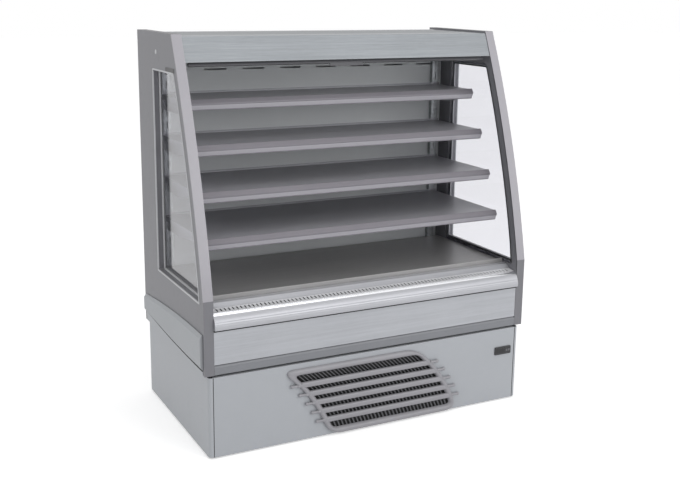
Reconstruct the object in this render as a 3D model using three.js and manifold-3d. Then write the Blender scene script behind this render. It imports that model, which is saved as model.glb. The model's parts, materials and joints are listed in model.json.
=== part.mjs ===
// An open multideck display fridge with a built-in cooling unit.
// Millimetres. X to the right, Y to the back, Z up, seen from the shopper's side.
// The pieces are built with y = 0 on the front of the base and z = 0 on the floor.
import * as THREE from "three";
import { mergeVertices } from "three/addons/utils/BufferGeometryUtils.js";
import Module from "manifold-3d";

const wasm = await Module();
wasm.setup();

// ---- Driving dimensions ----------------------------------------------------

// The whole case.
const width = 1330; // over the two end frames
const height = 1450; // floor to the top of the end frames
const depth = 697; // front of the base to the back
const gap = 0.3; // between pieces that touch
const slack = 1; // between pieces that are slid together
const sheet = 2; // folded sheet metal
const thinSides = 10; // flats on round pieces, by their size
const middleSides = 14;
const wideSides = 20;

// Base unit.
const baseHeight = 300;
const baseInset = 13; // each side, in from the end frames
const baseCorner = 16; // bend at the front corners
const baseWrap = 18; // width of the side panel's turn across the front
const floorGap = 5; // under the base panels
const panelFlange = 16;
const railSize = 30;
const railHeight = 40; // floor to the frame's lower rails
const frameFront = 30; // front of the base to the frame
const footRadius = 22;
const footHeight = 12;
const footRim = 8; // height of the foot's upright edge
const footNeck = 13; // radius of the foot's top
const studRadius = 5;
const studTop = 60;
const studNut = { radius: 9, low: 26, high: 34 };

// Front curve of the end frames.
const kinkHeight = 575; // where the upright foot of the front ends
const frontLean = 281; // how far the top stands back from the foot
const frontRadius = 4000;

// Cabinet.
const shadowGap = 8; // between the base and the cabinet
const endThickness = 35;
const windowStile = 42; // frame in front of the end window
const windowBottom = 560;
const windowTopRail = 135;
const windowBackStile = 190;
const windowCorner = 14;
const curvePoints = 10; // along the end frame's front curve
const rebateWidth = 10; // ledge that the end glass sits on
const rebateDepth = 10;
const glassThickness = 6;
const wall = 45; // foam walls, with their skins
const frontWall = 44;
const backSetIn = 2; // the back skin is this far in from the end frames' edge
const roofSetDown = 8; // the roof is this far below the end frames' top

// Front dressing, from the bottom up.
const trimTop = 342;
const panelBottom = 344;
const panelTop = 464;
const nosingBottom = 467;
const nosingTop = 531;
const nosingProud = 15;
const mouldingProud = 11;
const mouldingTopFront = 455;
const mouldingTopBack = 417;
const mouldingLowFront = 346;
const mouldingLowBack = 372;
const mouldingFront = 15;
const mouldingBack = 18; // in from the back of the end frame
const mouldingRound = 4; // at its upper outer edge
const mouldingTuck = 20; // how far its underside slopes down to the end frame
const nosingBack = 50;
const nosingLip = 8; // thickness of its back edge
const foldRadius = 3; // at the folds of the front panel and the trim

// Deck and return grille.
const deckTop = 550;
const deckFront = 95;
const deckLip = 12;
const deckFrontDrop = 26; // front and side flanges, down from its top
const deckSideDrop = 14;
const grilleTop = 546;
const grilleSlope = 16; // length of the slotted strip's sloping part
const slotLength = 10;
const slotPitch = 16;
const slotWidth = 8;
const slotMargin = 22;

// Shelves, from the top one down.
const topBay = 234; // top shelf to the top of the case
const bottomBay = 203; // deck to the lowest shelf
const shelfSetbacks = [84, 57, 36, 24]; // blind to the ticket rail
const shelfFrontLip = 30;
const shelfLip = 20; // at its sides
const shelfRearLip = 8;
const shelfSide = 22; // end frame to the shelf's edge
const railDepth = 12; // ticket rail, front to back
const railRise = 3; // its top, above the shelf
const railFace = { top: -11, low: -17 }; // its foremost band, from the shelf's top
const railFoot = -37;
const railLip = 2; // thickness of its upper and lower edges
const armThickness = 3;
const armInset = 40; // end frame to the arm's middle
const armSetback = 14; // shelf front to the arm's end
const armRear = 60;
const armFront = 22;
const armStraight = 120; // length of the arm's deep rear end
const tieSetback = 60; // shelf front to the bar that ties the arms
const tieDepth = 20;
const tieDrop = 8;
const hookDepth = 9;
const hookHeight = 12;
const uprightWidth = 30;
const uprightDepth = 20;
const uprightWall = 2.5;
const uprightSlot = 28;
const uprightPitch = 50;
const ductDepth = 53; // behind the inner back panel
const airSlot = { columns: 8, width: 90, height: 6, drop: 46 }; // drop below each shelf
const canopySlotDrop = 56; // below the canopy's lower edge

// Canopy.
const canopyDrop = 95; // top of the case to the fascia's lower edge
const fasciaReturn = 14;
const plenum = 38; // air space under the roof
const roofSetback = 84; // front curve to the roof, at its top
const rollerRadius = 22;
const rollerPin = 5;
const rollerInset = 12; // end frame to the roller's end
const rollerRise = 30; // canopy's lower edge to where the blind leaves the roller
const pinDepth = 8; // how far the roller's pins reach into the end frames
const blindInset = 18; // end frame to the blind's edge
const blindSetback = 30; // front curve to the pull bar, when the blind is up
const blindBarDrop = 10; // canopy's lower edge to the pull bar's middle
const blindFootY = 35;
const blindFootRise = 10; // deck to where the blind meets the nosing
const blindBarDepth = 12;
const blindBarHeight = 13;
const blindThickness = 1;
const blindGrip = { half: 70, drop: 10, depth: 3 };
const honeycombSetback = 24; // roof's front edge to the air straightener
const honeycombDepth = 60;
const honeycombHeight = 48;
const honeycombCell = { count: 24, border: 10, web: 2, rim: 4 };
const lampRadius = 8;
const lampInset = 40; // end frame to the lamp's end
const lampSetback = 12; // roof's front edge to the lamp's middle
const lampBatten = { half: 11, height: 16 };
const lampHolder = { half: 9, width: 14 };
const lampDrop = 12; // batten to the tube's middle

// Condenser grille: sides that lean and curve, six rows of slots behind five bars.
const grilleArc = 600; // radius of its sides
const grilleArcHeight = -185; // height of the arcs' centre
const grilleArcLeft = -736; // centre of the left side's arc
const grilleWidth = 511; // of its window
const grilleLow = 30;
const grilleHigh = 256;
const grilleRim = 25;
const grilleProud = 14;
const grilleBars = 5;
const grilleRibPitch = 15.5;
const grilleRib = 6;
const ribFront = 2; // ribs reach this far forward of the panel, and this far behind its face
const ribBack = 6;
const barHeight = 21;
const barNose = 5; // half the height of a bar's front face
const barBevel = 3;
const pegRadius = 6.5;
const pegReach = 28;

// Controller.
const controllerFromSide = 73; // base side to its middle
const controllerDrop = 89; // base top to its middle
const bezelWidth = 76;
const bezelHeight = 32;
const bezelProud = 4;
const caseWidth = 70;
const caseHeight = 26;
const caseDepth = 55;
const bezelRound = 4;
const keyRound = 1.5;
const keySize = 8;
const keyPlaces = [18, 29]; // right of the bezel's middle
const keyTravel = 1;
const keyProud = 1;
const keyPocket = 3;

// Cooling unit.
const coilWidth = 420;
const coilDepth = 65;
const coilHeight = 200;
const coilPlate = { thickness: 2, rise: 4 };
const coilBend = { outer: 14, inner: 6, tube: 8 };
const condenserFanRadius = 92;
const evaporatorFanRadius = 60;
const evaporatorWidth = 1000;
const evaporatorDepth = 260;
const evaporatorHeight = 90;
const evaporatorSetback = 50; // from the display space's back
const evaporatorRise = 12; // above the tub's floor
const fanHub = 22;
const fanBlades = 5;
const fanDepth = 26;
const fanSpacing = 4; // plate to the fan
const fanRing = 5; // opening beyond the blades' tips
const bladeChord = 0.22; // half a blade's width, for each unit of the fan's radius
const bladeThickness = 2;
const bladePitch = 0.6; // radians
const bladeRoot = 0.8; // share of the hub's radius at which a blade starts
const motorRadius = 32;
const motorLength = 45;
const motorSpacing = 3; // fan to the motor
const motorLeg = { half: 8, thickness: 4, beyond: 14 }; // beyond the blades' tips
const shaftRadius = 4;
const shroudFold = 20;
const fanPlateFront = 165;
const fanPlateFold = 24;
const fanPlaceShare = 0.45; // of the way out from the middle
const evaporatorFanRise = 22; // above the tub's floor, under the blades
const compressorRadius = 88;
const compressorHeight = 185;
const compressorFromSide = 320;
const compressorFromBack = 250;
const compressorPlate = { half: 115, depth: 80, thickness: 16 };
const terminalCover = { inset: 8, reach: 32, half: 28, low: 60, high: 130 };
const pipeRadius = 6;
const pipeBend = 22;
const pipeClearance = 3; // of its hole in the tub
const pipeFromSide = 60;
const pipeFromBack = 130;
const trayPlace = { side: 90, back: 30 };
const traySize = { x: 300, y: 170, z: 55, thickness: 3 };
const boxPlace = { side: 20, front: 90 };
const boxSize = { x: 170, y: 110, z: 140, lid: 4, lidDepth: 30 };
const backVent = { columns: 8, pitch: 124, width: 96, low: 90, rise: 28, rows: 5, slot: 10 };
const gland = { fromEdge: 70, z: 60, radius: 12, reach: 1.7 };

// ---- Sizes that follow ------------------------------------------------------

const halfWidth = width / 2;
const innerHalf = halfWidth - endThickness;
const fitHalf = innerHalf - gap; // long pieces between the end frames
const baseHalf = halfWidth - baseInset;
const baseBack = depth - backSetIn;
const cabinetBottom = baseHeight + shadowGap;
const roofTop = height - roofSetDown;
const canopyBottom = height - canopyDrop;
const backWallFront = depth - backSetIn - wall;
const innerBack = backWallFront - ductDepth; // back of the display space
const tubFloor = cabinetBottom + wall;
const tubTop = nosingTop - 2 * nosingLip; // of its front wall
const frameHalf = baseHalf - sheet - gap;
const frameBack = baseBack - sheet - gap;
const panTop = railHeight + railSize + sheet;
const uprightFront = innerBack - sheet - uprightDepth;
const armX = innerHalf - armInset;
const shelfHalf = innerHalf - shelfSide;
const shelfCount = shelfSetbacks.length;
const shelfPitch = (height - topBay - deckTop - bottomBay) / (shelfCount - 1);
const shelfHeights = shelfSetbacks.map((_, i) => Math.round(height - topBay - i * shelfPitch));
const windowTop = height - windowTopRail;
const windowBack = depth - windowBackStile;

// ---- Outlines and solids ----------------------------------------------------

const alongX = new THREE.Matrix4().makeBasis(
  new THREE.Vector3(0, 1, 0),
  new THREE.Vector3(0, 0, 1),
  new THREE.Vector3(1, 0, 0),
);
const alongY = new THREE.Matrix4().makeBasis(
  new THREE.Vector3(1, 0, 0),
  new THREE.Vector3(0, 0, 1),
  new THREE.Vector3(0, -1, 0),
);

// A closed outline, anticlockwise, through [a, b, corner radius] points.
function outline(points, PathType = THREE.Shape) {
  const path = new PathType();
  const area = THREE.ShapeUtils.area(points.map(([a, b]) => new THREE.Vector2(a, b)));
  const ring = area < 0 ? [...points].reverse() : points;
  const at = (i) => new THREE.Vector2(...ring[(i + ring.length) % ring.length]);
  ring.forEach(([a, b, radius = 0], i) => {
    const corner = at(i);
    const enter = at(i - 1).sub(corner).setLength(radius).add(corner);
    const leave = at(i + 1).sub(corner).setLength(radius).add(corner);
    if (i) path.lineTo(enter.x, enter.y);
    else path.moveTo(enter.x, enter.y);
    if (radius) path.quadraticCurveTo(a, b, leave.x, leave.y);
  });
  return path;
}

function hole(points) {
  return outline(points, THREE.Path);
}

function rectangle(aLow, aHigh, bLow, bHigh, radius = 0) {
  return [
    [aLow, bLow, radius],
    [aHigh, bLow, radius],
    [aHigh, bHigh, radius],
    [aLow, bHigh, radius],
  ];
}

function circle(a, b, radius, sides) {
  return Array.from({ length: sides }, (_, i) => {
    const turn = (2 * Math.PI * i) / sides;
    return [a + radius * Math.cos(turn), b + radius * Math.sin(turn)];
  });
}

function extrude(shape, length, curveSegments = 3) {
  return new THREE.ExtrudeGeometry(shape, { depth: length, bevelEnabled: false, curveSegments });
}

// An outline in Y and Z, drawn out along X.
function extrudeX(shape, low, high) {
  return extrude(shape, high - low).applyMatrix4(alongX).translate(low, 0, 0);
}

// An outline in X and Z, drawn out along Y.
function extrudeY(shape, low, high) {
  return extrude(shape, high - low).applyMatrix4(alongY).translate(0, high, 0);
}

// An outline in X and Y, drawn out along Z.
function extrudeZ(shape, low, high) {
  return extrude(shape, high - low).translate(0, 0, low);
}

// A block whose faces lie exactly on the given values, so that joined blocks share planes.
function box(xLow, xHigh, yLow, yHigh, zLow, zHigh) {
  const geometry = new THREE.BoxGeometry();
  const positions = geometry.getAttribute("position");
  for (let i = 0; i < positions.count; i++)
    positions.setXYZ(
      i,
      positions.getX(i) < 0 ? xLow : xHigh,
      positions.getY(i) < 0 ? yLow : yHigh,
      positions.getZ(i) < 0 ? zLow : zHigh,
    );
  return geometry;
}

function rodX(radius, low, high, y, z, sides = thinSides) {
  const geometry = new THREE.CylinderGeometry(radius, radius, high - low, sides);
  return geometry.rotateZ(Math.PI / 2).translate((low + high) / 2, y, z);
}

function rodY(radius, low, high, x, z, sides = middleSides) {
  const geometry = new THREE.CylinderGeometry(radius, radius, high - low, sides);
  return geometry.translate(x, (low + high) / 2, z);
}

function rodZ(radius, low, high, x, y, sides = thinSides) {
  const geometry = new THREE.CylinderGeometry(radius, radius, high - low, sides);
  return geometry.rotateX(Math.PI / 2).translate(x, y, (low + high) / 2);
}

function toSolid(geometry) {
  const loose = geometry.index ? geometry.toNonIndexed() : geometry;
  const bare = new THREE.BufferGeometry();
  bare.setAttribute("position", loose.getAttribute("position"));
  const merged = mergeVertices(bare, 1e-3);
  const vertProperties = merged.getAttribute("position").array;
  const triVerts = Uint32Array.from(merged.index.array);
  return new wasm.Manifold(new wasm.Mesh({ numProp: 3, vertProperties, triVerts }));
}

function toGeometry(solid) {
  const mesh = solid.getMesh();
  const geometry = new THREE.BufferGeometry();
  const positions = new THREE.BufferAttribute(mesh.vertProperties, mesh.numProp);
  geometry.setAttribute("position", positions);
  geometry.setIndex(new THREE.BufferAttribute(mesh.triVerts, 1));
  const faceted = geometry.toNonIndexed();
  faceted.computeVertexNormals();
  return faceted;
}

function join(geometries) {
  return toGeometry(geometries.map(toSolid).reduce((whole, next) => whole.add(next)));
}

function cut(geometry, tools) {
  const start = toSolid(geometry);
  return toGeometry(tools.map(toSolid).reduce((whole, tool) => whole.subtract(tool), start));
}

// Evenly spaced numbers from low to high, both included.
function spread(low, high, count) {
  return Array.from({ length: count }, (_, i) => low + ((high - low) * i) / (count - 1));
}

// ---- Finishes and pieces ----------------------------------------------------

const finishes = {
  basePanel: { color: 0xa6acb1, roughness: 0.45, metalness: 0.2 },
  endPanel: { color: 0x807e84, roughness: 0.55, metalness: 0.1 },
  brushed: { color: 0xb4b8bc, roughness: 0.35, metalness: 0.9 },
  moulding: { color: 0x9ba2a6, roughness: 0.6, metalness: 0 },
  trim: { color: 0x84888c, roughness: 0.5, metalness: 0.1 },
  silver: { color: 0xc8cacd, roughness: 0.3, metalness: 0.8 },
  grille: { color: 0x9a999e, roughness: 0.55, metalness: 0 },
  shelf: { color: 0x86868c, roughness: 0.4, metalness: 0.5 },
  rail: { color: 0x77757c, roughness: 0.5, metalness: 0 },
  deck: { color: 0x8b8984, roughness: 0.35, metalness: 0.8 },
  liner: { color: 0xd6d8da, roughness: 0.5, metalness: 0.1 },
  glass: { color: 0xdfeae8, roughness: 0.05, metalness: 0, transparent: true, opacity: 0.35 },
  black: { color: 0x1c1c1e, roughness: 0.5, metalness: 0 },
  galvanised: { color: 0x9fa3a5, roughness: 0.45, metalness: 0.8 },
  fins: { color: 0xb9bcbe, roughness: 0.4, metalness: 0.9 },
  copper: { color: 0xb06a42, roughness: 0.35, metalness: 1 },
  lamp: { color: 0xf4f4ee, roughness: 0.3, metalness: 0 },
  cloth: { color: 0xc9ccd0, roughness: 0.9, metalness: 0 },
};

function piece(name, geometry, finish) {
  const mesh = new THREE.Mesh(geometry, new THREE.MeshStandardMaterial(finishes[finish]));
  mesh.name = name;
  return mesh;
}

function placed(mesh, x, y, z) {
  mesh.position.set(x, y, z);
  return mesh;
}

function grouped(...children) {
  return new THREE.Group().add(...children);
}

// ---- Front curve --------------------------------------------------------------

const chord = new THREE.Vector2(frontLean, height - kinkHeight);
const chordRise = Math.sqrt(frontRadius ** 2 - (chord.length() / 2) ** 2);
const curveCentre = {
  y: frontLean / 2 + (chordRise * chord.y) / chord.length(),
  z: (kinkHeight + height) / 2 - (chordRise * chord.x) / chord.length(),
};

// How far back the front edge is at a height, with an inset square to the edge.
function frontY(z, inset = 0) {
  const radius = frontRadius - inset;
  const onArc = curveCentre.y - Math.sqrt(radius ** 2 - (z - curveCentre.z) ** 2);
  return z < kinkHeight ? inset : Math.max(inset, onArc);
}

const blindTop = { y: frontY(canopyBottom) + blindSetback, z: canopyBottom - blindBarDrop };
const blindFoot = { y: blindFootY, z: deckTop + blindFootRise };
const blindLength = Math.hypot(blindTop.y - blindFoot.y, blindTop.z - blindFoot.z);
const blindDown = {
  y: (blindFoot.y - blindTop.y) / blindLength,
  z: (blindFoot.z - blindTop.z) / blindLength,
};
const blindLean = Math.atan2(-blindDown.y, -blindDown.z);

function blindY(z) {
  return blindTop.y + ((z - blindTop.z) * blindDown.y) / blindDown.z;
}

// The blind leaves the roller at its front.
const blindLeaves = { y: blindY(canopyBottom + rollerRise), z: canopyBottom + rollerRise };
const rollerOffset = rollerRadius + blindThickness / 2 + gap;
const roller = {
  y: blindLeaves.y - rollerOffset * blindDown.z,
  z: blindLeaves.z + rollerOffset * blindDown.y,
};

// ---- Base unit ------------------------------------------------------------------

const railEdges = { low: railHeight, high: cabinetBottom - gap - railSize };
const footX = frameHalf - footRadius - slack;
const footFront = frameFront + railSize / 2;
const footBack = frameBack - footRadius - slack;

// Welded tube frame with a floor pan that the cooling unit stands on.
function baseFrame() {
  const bars = [];
  for (const z of [railEdges.low, railEdges.high]) {
    for (const y of [frameFront, frameBack - railSize])
      bars.push(box(-frameHalf, frameHalf, y, y + railSize, z, z + railSize));
    for (const x of [-frameHalf, frameHalf - railSize])
      bars.push(box(x, x + railSize, frameFront, frameBack, z, z + railSize));
  }
  for (const x of [-frameHalf, frameHalf - railSize])
    for (const y of [frameFront, frameBack - railSize])
      bars.push(box(x, x + railSize, y, y + railSize, railEdges.low, cabinetBottom - gap));
  bars.push(box(-frameHalf, frameHalf, frameFront, frameBack, panTop - sheet, panTop));
  const studHoles = [];
  for (const x of [-footX, footX])
    for (const y of [footFront, footBack])
      studHoles.push(rodZ(studRadius + gap, 0, studTop + gap, x, y));
  return piece("base_frame", cut(join(bars), studHoles), "galvanised");
}

function foot(name, x, y) {
  const profile = [
    [0, 0],
    [footRadius, 0],
    [footRadius, footRim],
    [footNeck, footHeight],
    [studRadius, footHeight],
    [studRadius, studNut.low],
    [studNut.radius, studNut.low],
    [studNut.radius, studNut.high],
    [studRadius, studNut.high],
    [studRadius, studTop],
    [0, studTop],
  ];
  const points = profile.map(([radius, z]) => new THREE.Vector2(radius, z));
  const geometry = new THREE.LatheGeometry(points, thinSides).rotateX(Math.PI / 2);
  return placed(piece(name, geometry, "black"), x, y, 0);
}

// Folded side panel, turned across the front and back corners.
function baseSide(name, side) {
  const inner = baseHalf - sheet;
  const points = [
    [baseHalf - baseWrap, 0],
    [baseHalf, 0, baseCorner],
    [baseHalf, baseBack],
    [baseHalf - baseWrap, baseBack],
    [baseHalf - baseWrap, baseBack - sheet],
    [inner, baseBack - sheet],
    [inner, sheet, baseCorner - sheet],
    [baseHalf - baseWrap, sheet],
  ];
  const shape = outline(points.map(([x, y, radius]) => [side * x, y, radius]));
  return piece(name, extrudeZ(shape, floorGap, baseHeight), "basePanel");
}

const frontPanelHalf = baseHalf - baseWrap - gap;
const controllerX = baseHalf - controllerFromSide;
const controllerZ = baseHeight - controllerDrop;

// Removable service panel, with openings for the grille and the controller.
function baseFrontPanel() {
  const face = outline(rectangle(-frontPanelHalf, frontPanelHalf, floorGap, baseHeight));
  const across = [controllerX - caseWidth / 2 - gap, controllerX + caseWidth / 2 + gap];
  const up = [controllerZ - caseHeight / 2 - gap, controllerZ + caseHeight / 2 + gap];
  face.holes.push(
    hole(grilleOutline(grilleRim / 3, barHeight / 2)),
    hole(rectangle(...across, ...up)),
  );
  const flanges = [
    box(-frontPanelHalf, -frontPanelHalf + sheet, 0, panelFlange, floorGap, baseHeight),
    box(frontPanelHalf - sheet, frontPanelHalf, 0, panelFlange, floorGap, baseHeight),
    box(-frontPanelHalf, frontPanelHalf, 0, panelFlange, baseHeight - sheet, baseHeight),
  ];
  return piece("base_front_panel", join([extrudeY(face, 0, sheet), ...flanges]), "basePanel");
}

// Vented back panel of the base, with the gland for the supply lead.
function baseBackPanel() {
  const half = frontPanelHalf;
  const front = baseBack - sheet;
  const side = backVent.width / 2;
  const slots = [];
  for (let column = 0; column < backVent.columns; column++)
    for (let row = 0; row < backVent.rows; row++) {
      const x = (column - (backVent.columns - 1) / 2) * backVent.pitch;
      const z = backVent.low + row * backVent.rise;
      const through = [front - slack, baseBack + slack];
      slots.push(box(x - side, x + side, ...through, z, z + backVent.slot));
    }
  const plate = cut(box(-half, half, front, baseBack, railHeight, baseHeight), slots);
  const glandX = half - gland.fromEdge;
  const boss = rodY(gland.radius, front, baseBack + gland.reach, glandX, gland.z);
  return piece("base_back_panel", join([plate, boss]), "galvanised");
}

// ---- Condenser grille -----------------------------------------------------------

// The leaning, curved side of the grille at a height.
function grilleSide(z, shift) {
  return grilleArcLeft + shift + Math.sqrt(grilleArc ** 2 - (z - grilleArcHeight) ** 2);
}

function grilleOutline(margin, radius) {
  const heights = spread(grilleLow - margin, grilleHigh + margin, 5);
  const left = heights.map((z) => [grilleSide(z, -margin), z]);
  const right = heights.map((z) => [grilleSide(z, grilleWidth + margin), z]);
  for (const side of [left, right]) {
    side[0].push(radius);
    side[side.length - 1].push(radius);
  }
  return [...left.reverse(), ...right];
}

function rimSolid() {
  const shape = outline(grilleOutline(grilleRim, grilleRim));
  shape.holes.push(hole(grilleOutline(0, grilleRim / 3)));
  return extrudeY(shape, -grilleProud - gap, -gap);
}

// One louvre bar with its round pegs at both ends.
function grilleBar(z) {
  const half = barHeight / 2;
  const left = grilleSide(z, 0);
  const right = left + grilleWidth;
  const front = -grilleProud + slack;
  const back = -ribFront - 2 * gap;
  const profile = [
    [front, -barNose],
    [front, barNose],
    [front + barBevel, half],
    [back, half],
    [back, -half],
    [front + barBevel, -half],
  ];
  const shape = outline(profile.map(([y, rise]) => [y, z + rise]));
  const reach = grilleRim + pegReach;
  const pegY = -gap - pegRadius;
  return [
    extrudeX(shape, left - grilleRim / 2, right + grilleRim / 2),
    rodX(pegRadius, left - reach, left - grilleRim / 2, pegY, z),
    rodX(pegRadius, right + grilleRim / 2, right + reach, pegY, z),
  ];
}

// One thin rib behind the bars, leaning with the sides.
function grilleRibAt(shift) {
  const rooted = grilleRim / 6;
  const heights = spread(grilleLow - rooted, grilleHigh + rooted, 3);
  const left = heights.map((z) => [grilleSide(z, shift - grilleRib / 2), z]);
  const right = heights.map((z) => [grilleSide(z, shift + grilleRib / 2), z]);
  return extrudeY(outline([...left.reverse(), ...right]), -gap - ribFront, ribBack);
}

function condenserGrille() {
  const rise = (grilleHigh - grilleLow) / (grilleBars + 1);
  const solids = [rimSolid()];
  for (let bar = 1; bar <= grilleBars; bar++) solids.push(...grilleBar(grilleLow + bar * rise));
  const ribs = Math.floor(grilleWidth / grilleRibPitch);
  const firstRib = (grilleWidth - (ribs - 1) * grilleRibPitch) / 2;
  for (let rib = 0; rib < ribs; rib++) solids.push(grilleRibAt(firstRib + rib * grilleRibPitch));
  return piece("condenser_grille", join(solids), "grille");
}

// ---- Controller -------------------------------------------------------------------

const keys = [
  { name: "controller_key_left", x: keyPlaces[0] },
  { name: "controller_key_right", x: keyPlaces[1] },
];

// The controller's pieces are built about the middle of its bezel.
function controllerBody() {
  const front = -gap - bezelProud;
  const half = bezelWidth / 2;
  const rise = bezelHeight / 2;
  const face = outline(rectangle(-half, half, -rise, rise, bezelRound));
  const bezel = extrudeY(face, front, -gap);
  const caseHalf = caseWidth / 2;
  const caseRise = caseHeight / 2;
  const rear = box(-caseHalf, caseHalf, -bezelProud / 2, caseDepth, -caseRise, caseRise);
  const pocket = keySize / 2 + gap;
  const pockets = keys.map(({ x }) =>
    box(x - pocket, x + pocket, front - slack, front + keyPocket, -pocket, pocket),
  );
  return piece("controller_body", cut(join([bezel, rear]), pockets), "black");
}

function controllerKey({ name, x }) {
  const front = -gap - bezelProud - keyProud;
  const back = -gap - bezelProud + keyPocket - gap - keyTravel;
  const half = keySize / 2;
  const face = outline(rectangle(-half, half, -half, half, keyRound));
  const geometry = extrudeY(face, front, back);
  return placed(piece(name, geometry, "rail"), x, 0, 0);
}

function controller() {
  const group = grouped(controllerBody(), ...keys.map(controllerKey));
  group.position.set(controllerX, 0, controllerZ);
  return group;
}

// ---- Fans, coils and the cooling unit -------------------------------------------------

// Axial fan about its own axis along Y, with a bore for the motor's shaft.
function fan(name, radius) {
  const thick = bladeThickness / 2;
  const chordHalf = radius * bladeChord;
  const blades = Array.from({ length: fanBlades }, (_, i) => {
    const blade = box(fanHub * bladeRoot, radius, -thick, thick, -chordHalf, chordHalf);
    return blade.rotateX(bladePitch).rotateY((2 * Math.PI * i) / fanBlades);
  });
  const hub = rodY(fanHub, -fanDepth / 2, fanDepth / 2, 0, 0);
  const bore = rodY(shaftRadius + gap, -fanDepth / 4, fanDepth, 0, 0, thinSides);
  return piece(name, cut(join([hub, ...blades]), [bore]), "black");
}

// Fan motor on a bridge: two legs reach forward to the plate that the fan blows through.
function fanMotor(plateBack, fanY, fanRadius) {
  const front = fanY + fanDepth / 2 + motorSpacing;
  const back = front + motorLength;
  const reach = fanRadius + motorLeg.beyond;
  const { half, thickness } = motorLeg;
  return [
    rodY(motorRadius, front, back, 0, 0),
    rodY(shaftRadius, fanY - fanDepth / 4 + slack, front + slack, 0, 0, thinSides),
    box(-reach, reach, back - thickness, back, -half, half),
    box(-reach, -reach + thickness, plateBack, back, -half, half),
    box(reach - thickness, reach, plateBack, back, -half, half),
  ];
}

// Finned coil with end plates and return bends, from its low corner.
function coil(name, size, rows) {
  const { thickness, rise } = coilPlate;
  const solids = [
    box(0, size.x, 0, size.y, 0, size.z),
    box(-thickness, 0, 0, size.y, 0, size.z + rise),
    box(size.x, size.x + thickness, 0, size.y, 0, size.z + rise),
  ];
  for (let row = 0; row < rows; row++) {
    const z = (size.z * (row + 1 / 2)) / rows;
    solids.push(returnBend(-1).translate(0, size.y / 2, z));
    solids.push(returnBend(1).translate(size.x, size.y / 2, z));
  }
  return piece(name, join(solids), "fins");
}

function returnBend(side) {
  const bend = new THREE.Shape();
  bend.absarc(0, 0, coilBend.outer, -Math.PI / 2, Math.PI / 2, false);
  bend.absarc(0, 0, coilBend.inner, Math.PI / 2, -Math.PI / 2, true);
  const geometry = extrude(bend, coilBend.tube).translate(0, 0, -coilBend.tube / 2);
  if (side < 0) geometry.rotateY(Math.PI);
  return geometry.rotateX(Math.PI / 2);
}

const coilFront = frameFront + railSize + gap;
const shroudFront = coilFront + coilDepth + gap;
const shroudBack = shroudFront + sheet;
const condenserFanY = shroudBack + fanDepth / 2 + fanSpacing;
const condenserZ = panTop + gap + coilHeight / 2;

function condenser() {
  const block = coil("condenser_coil", { x: coilWidth, y: coilDepth, z: coilHeight }, 5);
  placed(block, -coilWidth / 2, coilFront, panTop + gap);
  const half = coilWidth / 2;
  const low = panTop + gap;
  const plate = outline(rectangle(-half, half, low, panTop + coilHeight));
  plate.holes.push(hole(circle(0, condenserZ, condenserFanRadius + fanRing, wideSides)));
  const fold = box(-half, half, shroudFront, shroudBack + shroudFold, low, panTop + sheet);
  const shroud = join([extrudeY(plate, shroudFront, shroudBack), fold]);
  const motor = join(fanMotor(shroudBack + gap, condenserFanY, condenserFanRadius));
  return grouped(
    block,
    piece("condenser_shroud", shroud, "galvanised"),
    placed(piece("condenser_fan_motor", motor, "black"), 0, 0, condenserZ),
    placed(fan("condenser_fan", condenserFanRadius), 0, condenserFanY, condenserZ),
  );
}

const compressorPlace = { x: frameHalf - compressorFromSide, y: frameBack - compressorFromBack };

// The can's outline, as shares of its radius and height. The seam stands out round its middle.
const compressorShell = [
  [0, 0.07],
  [0.75, 0.07],
  [1, 0.19],
  [1, 0.5],
  [1.08, 0.5],
  [1.08, 0.54],
  [1, 0.54],
  [1, 0.8],
  [0.72, 0.96],
  [0, 1],
];

function compressor() {
  const points = compressorShell.map(
    ([out, up]) => new THREE.Vector2(out * compressorRadius, up * compressorHeight),
  );
  const can = new THREE.LatheGeometry(points, wideSides).rotateX(Math.PI / 2);
  const { half: plateHalf, depth: plateDepth, thickness } = compressorPlate;
  const plate = box(-plateHalf, plateHalf, -plateDepth, plateDepth, 0, thickness);
  const { inset, reach, half, low, high } = terminalCover;
  const cover = box(compressorRadius - inset, compressorRadius + reach, -half, half, low, high);
  const mesh = piece("compressor", join([can, plate, cover]), "black");
  return placed(mesh, compressorPlace.x, compressorPlace.y, panTop + gap);
}

// Open tray under the drain, where the melt water dries off.
function evaporationTray() {
  const { x, y, z, thickness } = traySize;
  const inside = [thickness, x - thickness, thickness, y - thickness];
  const hollow = box(...inside, thickness, z + slack);
  const mesh = piece("evaporation_tray", cut(box(0, x, 0, y, 0, z), [hollow]), "galvanised");
  const back = frameBack - railSize - trayPlace.back;
  return placed(mesh, -frameHalf + trayPlace.side, back - y, panTop + gap);
}

function electricalBox() {
  const { x, y, z, lid, lidDepth } = boxSize;
  const body = box(0, x, 0, y, 0, z);
  const cover = box(-lid, x + lid, -lid, y + lid, z - lidDepth, z + lid);
  const mesh = piece("electrical_box", join([body, cover]), "trim");
  const right = frameHalf - railSize - boxPlace.side;
  return placed(mesh, right - x, boxPlace.front, panTop + gap);
}

const pipeUp = { x: innerHalf - pipeFromSide, y: backWallFront - pipeFromBack };
const evaporatorBack = innerBack - evaporatorSetback;
const evaporatorLow = tubFloor + evaporatorRise;

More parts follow.
